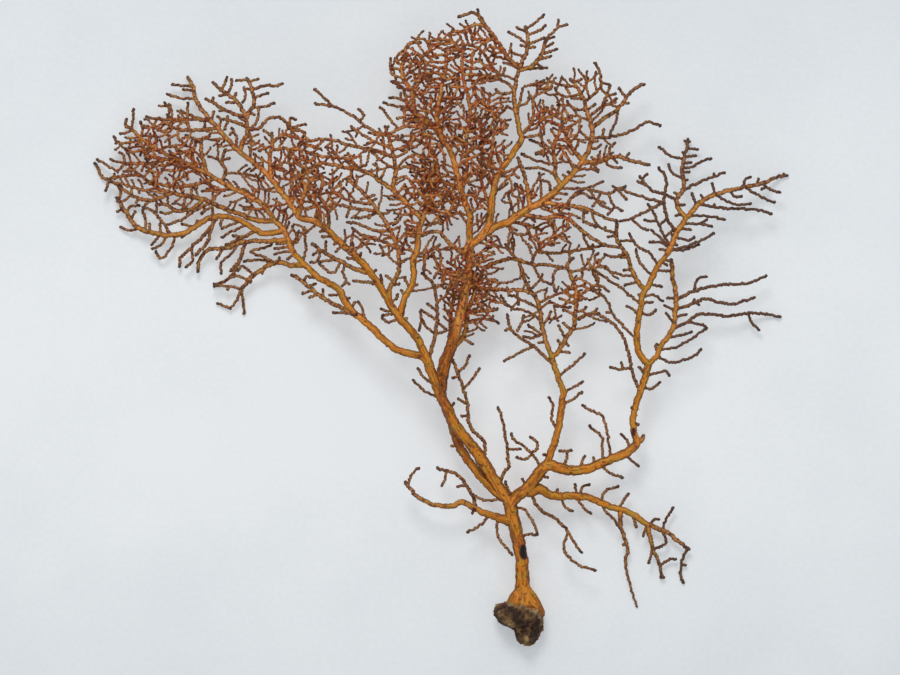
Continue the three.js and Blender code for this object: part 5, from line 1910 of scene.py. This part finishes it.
def stone_relief(point, rind):
    """How far the stone stands out at a point, from its swells, crags, pits and grit."""
    scale, settings, depth = SWELLS
    swell = noise.fractal(Vector(point) * scale, *settings) * depth
    scale, settings, depth = CRAGS
    crag = noise.ridged_multi_fractal(Vector(point) * scale, *settings) * depth
    scale, depth = PITS
    pit = max(0.0, noise.noise(Vector(point) * scale)) * depth
    scale, depth = GRIT
    pit = pit + noise.noise(Vector(point) * scale) * depth
    return swell + (crag - pit) * (1 - RIND_SOFTENS * rind) - RELIEF_SUNK


def make_stone(material):
    """One skin round the three lobes, as far from the stone's heart as the lobes reach each way."""
    heart = place_at(STONE_HEART)
    heart[2] = STONE_HEART_HEIGHT
    shape = bmesh.new()
    bmesh.ops.create_icosphere(shape, subdivisions=STONE_FINENESS, radius=1.0)
    values = {"rind": [], "rim": [], "crest": []}
    for vertex in shape.verts:
        direction = np.array(vertex.co.normalized())
        reaches = [max(reach_of(lobe, heart, direction), 0.0) for lobe in STONE_LOBES]
        reach = sum(value**LOBE_SHARPNESS for value in reaches) ** (1 / LOBE_SHARPNESS)
        point = heart + direction * reach
        rind, rim = rind_at(point)
        relief = stone_relief(point, rind)
        point = point + direction * (relief + RIND_HEIGHT * rind)
        point[2] = max(point[2], 0.0)
        vertex.co = Vector(point) * MM
        values["rind"].append(rind)
        values["rim"].append(rim)
        values["crest"].append(float(relief))
    mesh = bpy.data.meshes.new("stone_lump")
    shape.to_mesh(mesh)
    shape.free()
    for name, numbers in values.items():
        layer = mesh.attributes.new(name, "FLOAT", "POINT")
        layer.data.foreach_set("value", numbers)
    piece = smooth_object("stone_lump", mesh, material)
    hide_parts("stone")
    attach(piece, "root")


# The holdfast spreads from the trunk over the stone. Each level has its place, half its width and
# half its height in millimetres, and the height of its middle.
HOLDFAST_LEVELS = (
    ("522.6,581", 3.1, 3.1, 10.6),
    ("522.9,586", 3.5, 3.3, 10.4),
    ("523.4,590", 4.6, 3.7, 10.2),
    ("523.6,594", 6.3, 4.3, 10.0),
    ("523.4,598", 7.6, 5.1, 9.7),
    ("523.8,603", 8.6, 6.0, 9.3),
    ("525.0,608", 9.1, 6.6, 8.9),
    ("525.5,611", 7.0, 5.0, 8.4),
)
HOLDFAST_STEP = 0.35
HOLDFAST_SIDES = 72

# Its root lobes, where it is wide: how many, how deep and how far round they start. The first kind
# also reaches further down the stone. The fine fibres run all the way.
HOLDFAST_BAND = (3.2, 9.0)
ROOT_LOBES = ((9, 0.06, 0.6), (14, 0.05, 2.0))
ROOT_LOBES_SUNK = 0.04
ROOT_LOBE_REACH = 0.8
HOLDFAST_FIBRES = 23
FIBRE_DEPTH = 0.015
FIBRE_WAVES = (9.0, 4.0)
HOLDFAST_AGE = 0.95
# Shade painted on its flanks: from what share of the way round to the side it starts, and how strong it is at most
HOLDFAST_FLANK_SHADE = (0.7, 0.8)


def add_holdfast(shell, rng):
    """A skirt that widens into rounded root lobes and closes inside the stone."""
    levels = []
    for place, half_width, half_height, height in HOLDFAST_LEVELS:
        centre = place_at(place)
        levels.append([centre[0], centre[1], height, half_width, half_height])
    levels = np.array(levels)
    rows = np.arange(levels[0][1], levels[-1][1], -HOLDFAST_STEP)
    columns = [np.interp(-rows, -levels[:, 1], levels[:, axis]) for axis in (0, 2, 3, 4)]
    angles = np.arange(HOLDFAST_SIDES) * 2 * math.pi / HOLDFAST_SIDES
    spread = smooth(columns[2], *HOLDFAST_BAND)[:, None]
    bulges = [np.cos(count * angles + start) for count, _, start in ROOT_LOBES]
    bulging = sum(depth * bulge for (_, depth, _), bulge in zip(ROOT_LOBES, bulges))
    lobes = 1 + spread * (bulging - ROOT_LOBES_SUNK)
    fibre_turns = HOLDFAST_FIBRES * angles + rng.uniform(0, 6) + waves(rng, rows, FIBRE_WAVES)[:, None]
    swell = lobes + FIBRE_DEPTH * np.sin(fibre_turns)
    x = columns[0][:, None] + np.cos(angles) * columns[2][:, None] * swell
    z = columns[1][:, None] + np.sin(angles) * columns[3][:, None] * swell
    y = np.broadcast_to(rows[:, None], x.shape) - spread * ROOT_LOBE_REACH * bulges[0]
    rings = np.stack([x, y, z], axis=-1)[:, ::-1]
    # Painted shade on the flanks of the skirt
    shade_from, shade_most = HOLDFAST_FLANK_SHADE
    flank = shade_most * smooth(np.abs(np.cos(angles)), shade_from, 1.0)[None, :]
    values = {"age": HOLDFAST_AGE, "flank": flank}
    shell.add_tube(rings, values, grain_at(angles, rows * GRAIN_ALONG)[:, ::-1])


def make_limb(limb, number, density, material):
    rng = np.random.default_rng(LIMB_SEED + number)
    shell = Shell()
    for route in limb.routes:
        if max(route.widths) < HOLDFAST_WIDTH:
            route_tube(shell, route, rng, density)
    if limb.name == "trunk":
        add_holdfast(shell, rng)
    piece = shell.to_object(limb.name + "_limb", material)
    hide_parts(limb.name)
    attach(piece, "root")


# The camera looks straight down, centred on the middle of the photo's frame
VIEW_CENTRE = "450,337.5"
VIEW_WIDTH = 450.0
CAMERA_HEIGHT = 4000.0
MIDDLE_HEIGHT = 15.0
SENSOR = 36.0
FARTHEST = 20


def make_camera():
    camera = bpy.data.cameras.new("above")
    camera.sensor_width = SENSOR
    camera.lens = SENSOR * CAMERA_HEIGHT / VIEW_WIDTH
    camera.clip_end = FARTHEST
    holder = bpy.data.objects.new("above", camera)
    centre = place_at(VIEW_CENTRE)
    holder.location = Vector((centre[0], centre[1], CAMERA_HEIGHT + MIDDLE_HEIGHT)) * MM
    holder.rotation_euler = (0, 0, 0)
    bpy.context.collection.objects.link(holder)
    bpy.context.scene.camera = holder


# The paper under the fan, in metres: its half size and level, the middle of the pool of light painted on it, how the
# pool is stretched and where it fades into painted shade, and its clouds and grain, each with how fine and how strong
FLOOR_HALF = 3.0
FLOOR_LEVEL = -0.0002
FLOOR_LIGHT_POOL_MIDDLE = (-0.09, 0.12, 0.0)
FLOOR_LIGHT_POOL_STRETCH = (0.6, 1.7, 1.0)
FLOOR_LIGHT_POOL_FADE = (0.08, 0.36)
FLOOR_CLOUDS = (14, 0.16)
FLOOR_GRAIN = (420, 0.1)
# The paper's glow, painted light that softens the shadows on it
FLOOR_GLOW = 0.55
FLOOR_ROUGHNESS = 0.95
FLOOR_GLOSS = 0.1
# Two tones of the paper, for its mottling and for the painted light and painted shade on it
PALE_PAPER_PAINTED_LIT = seen(203, 206, 208)
GREY_PAPER_PAINTED_SHADE = seen(190, 194, 197)

# The light of the room, and of a broad lamp above and beyond the fan
ROOM_COLOR = (0.93, 0.96, 1.0, 1.0)
ROOM_STRENGTH = 0.5
LAMP_SIZE = 0.9
LAMP_ENERGY = 22
LAMP_COLOR = (1.0, 0.985, 0.96)
LAMP_TARGET = (-0.035, 0.14, 0.0)
LAMP_AWAY = (-0.25, 1.5, 1.7)


def floor_material():
    """Pale paper, slightly mottled, with a pool of light painted on it that fades into painted shade away from its
    middle, and a glow that is painted light, softening the shadows on it.
    """
    n = Nodes("pale_floor")
    place = n.place()
    # Painted shade on the paper, growing away from the middle of the painted pool of light
    spread = n.vector("MULTIPLY", n.vector("SUBTRACT", place, FLOOR_LIGHT_POOL_MIDDLE), FLOOR_LIGHT_POOL_STRETCH)
    shade = n.ranged(n.vector("LENGTH", spread, output="Value"), *FLOOR_LIGHT_POOL_FADE)
    scale, strength = FLOOR_CLOUDS
    cloudy = n.ranged(n.noise(place, scale, 4), 0.35, 0.65, -strength, strength)
    scale, strength = FLOOR_GRAIN
    grainy = n.ranged(n.noise(place, scale, 3), 0.35, 0.65, -strength, strength)
    shade = n.math("ADD", n.math("ADD", shade, cloudy), grainy, clamp=True)
    paper = n.mix(shade, PALE_PAPER_PAINTED_LIT, GREY_PAPER_PAINTED_SHADE)
    n.set(n.shader.inputs["Base Color"], paper)
    # Painted light: the paper glows in its own tones, softening the shadows cast on it
    n.set(n.shader.inputs["Emission Color"], paper)
    n.shader.inputs["Emission Strength"].default_value = FLOOR_GLOW
    n.shader.inputs["Roughness"].default_value = FLOOR_ROUGHNESS
    n.shader.inputs["Specular IOR Level"].default_value = FLOOR_GLOSS
    return n.material


def make_floor():
    mesh = bpy.data.meshes.new("floor")
    signs = [(-1, -1), (1, -1), (1, 1), (-1, 1)]
    corners = [(x * FLOOR_HALF, y * FLOOR_HALF, FLOOR_LEVEL) for x, y in signs]
    mesh.from_pydata(corners, [], [(0, 1, 2, 3)])
    mesh.materials.append(floor_material())
    floor = bpy.data.objects.new("floor", mesh)
    bpy.context.collection.objects.link(floor)


def make_lights():
    world = bpy.data.worlds.new("room")
    bpy.context.scene.world = world
    world.use_nodes = True
    background = world.node_tree.nodes["Background"]
    background.inputs["Color"].default_value = ROOM_COLOR
    background.inputs["Strength"].default_value = ROOM_STRENGTH
    light = bpy.data.lights.new("lamp", "AREA")
    light.shape = "DISK"
    light.size = LAMP_SIZE
    light.energy = LAMP_ENERGY
    light.color = LAMP_COLOR
    holder = bpy.data.objects.new("lamp", light)
    target = Vector(LAMP_TARGET)
    holder.location = target + Vector(LAMP_AWAY)
    holder.rotation_euler = (target - holder.location).to_track_quat("-Z", "Y").to_euler()
    bpy.context.collection.objects.link(holder)


# The stouter limbs, which get the golden branch material. All others get the brown twig material.
BRANCH_LIMBS = {
    "trunk", "low_left", "left_main", "right_main", "right_bough", "right_riser", "fan_left", "fan_right",
    "fan_top", "low_right", "mid_bough", "centre_stem", "crown_east", "crown_east_tip", "crown_mid",
    "centre_west", "left_high", "left_spray", "left_low", "left_middle", "left_hem", "west_riser",
}


def build():
    bpy.context.scene.view_settings.view_transform = "Standard"
    make_camera()
    make_floor()
    make_lights()
    limbs = read_limbs(LIMBS)
    crowd = place_all(limbs)
    rng = np.random.default_rng(TWIGLET_SEED)
    for thickets, spacing, shortest, longest in TWIGLET_ROUNDS:
        grow_twiglets(limbs, crowd, rng, thickets, spacing, shortest, longest)
    density = Density(crowd)
    branch = branch_material("golden_branch")
    twig = branch_material("brown_twig")
    for number, limb in enumerate(limbs):
        is_branch = limb.name in BRANCH_LIMBS
        make_limb(limb, number, density, branch if is_branch else twig)
    make_stone(stone_material())


build()
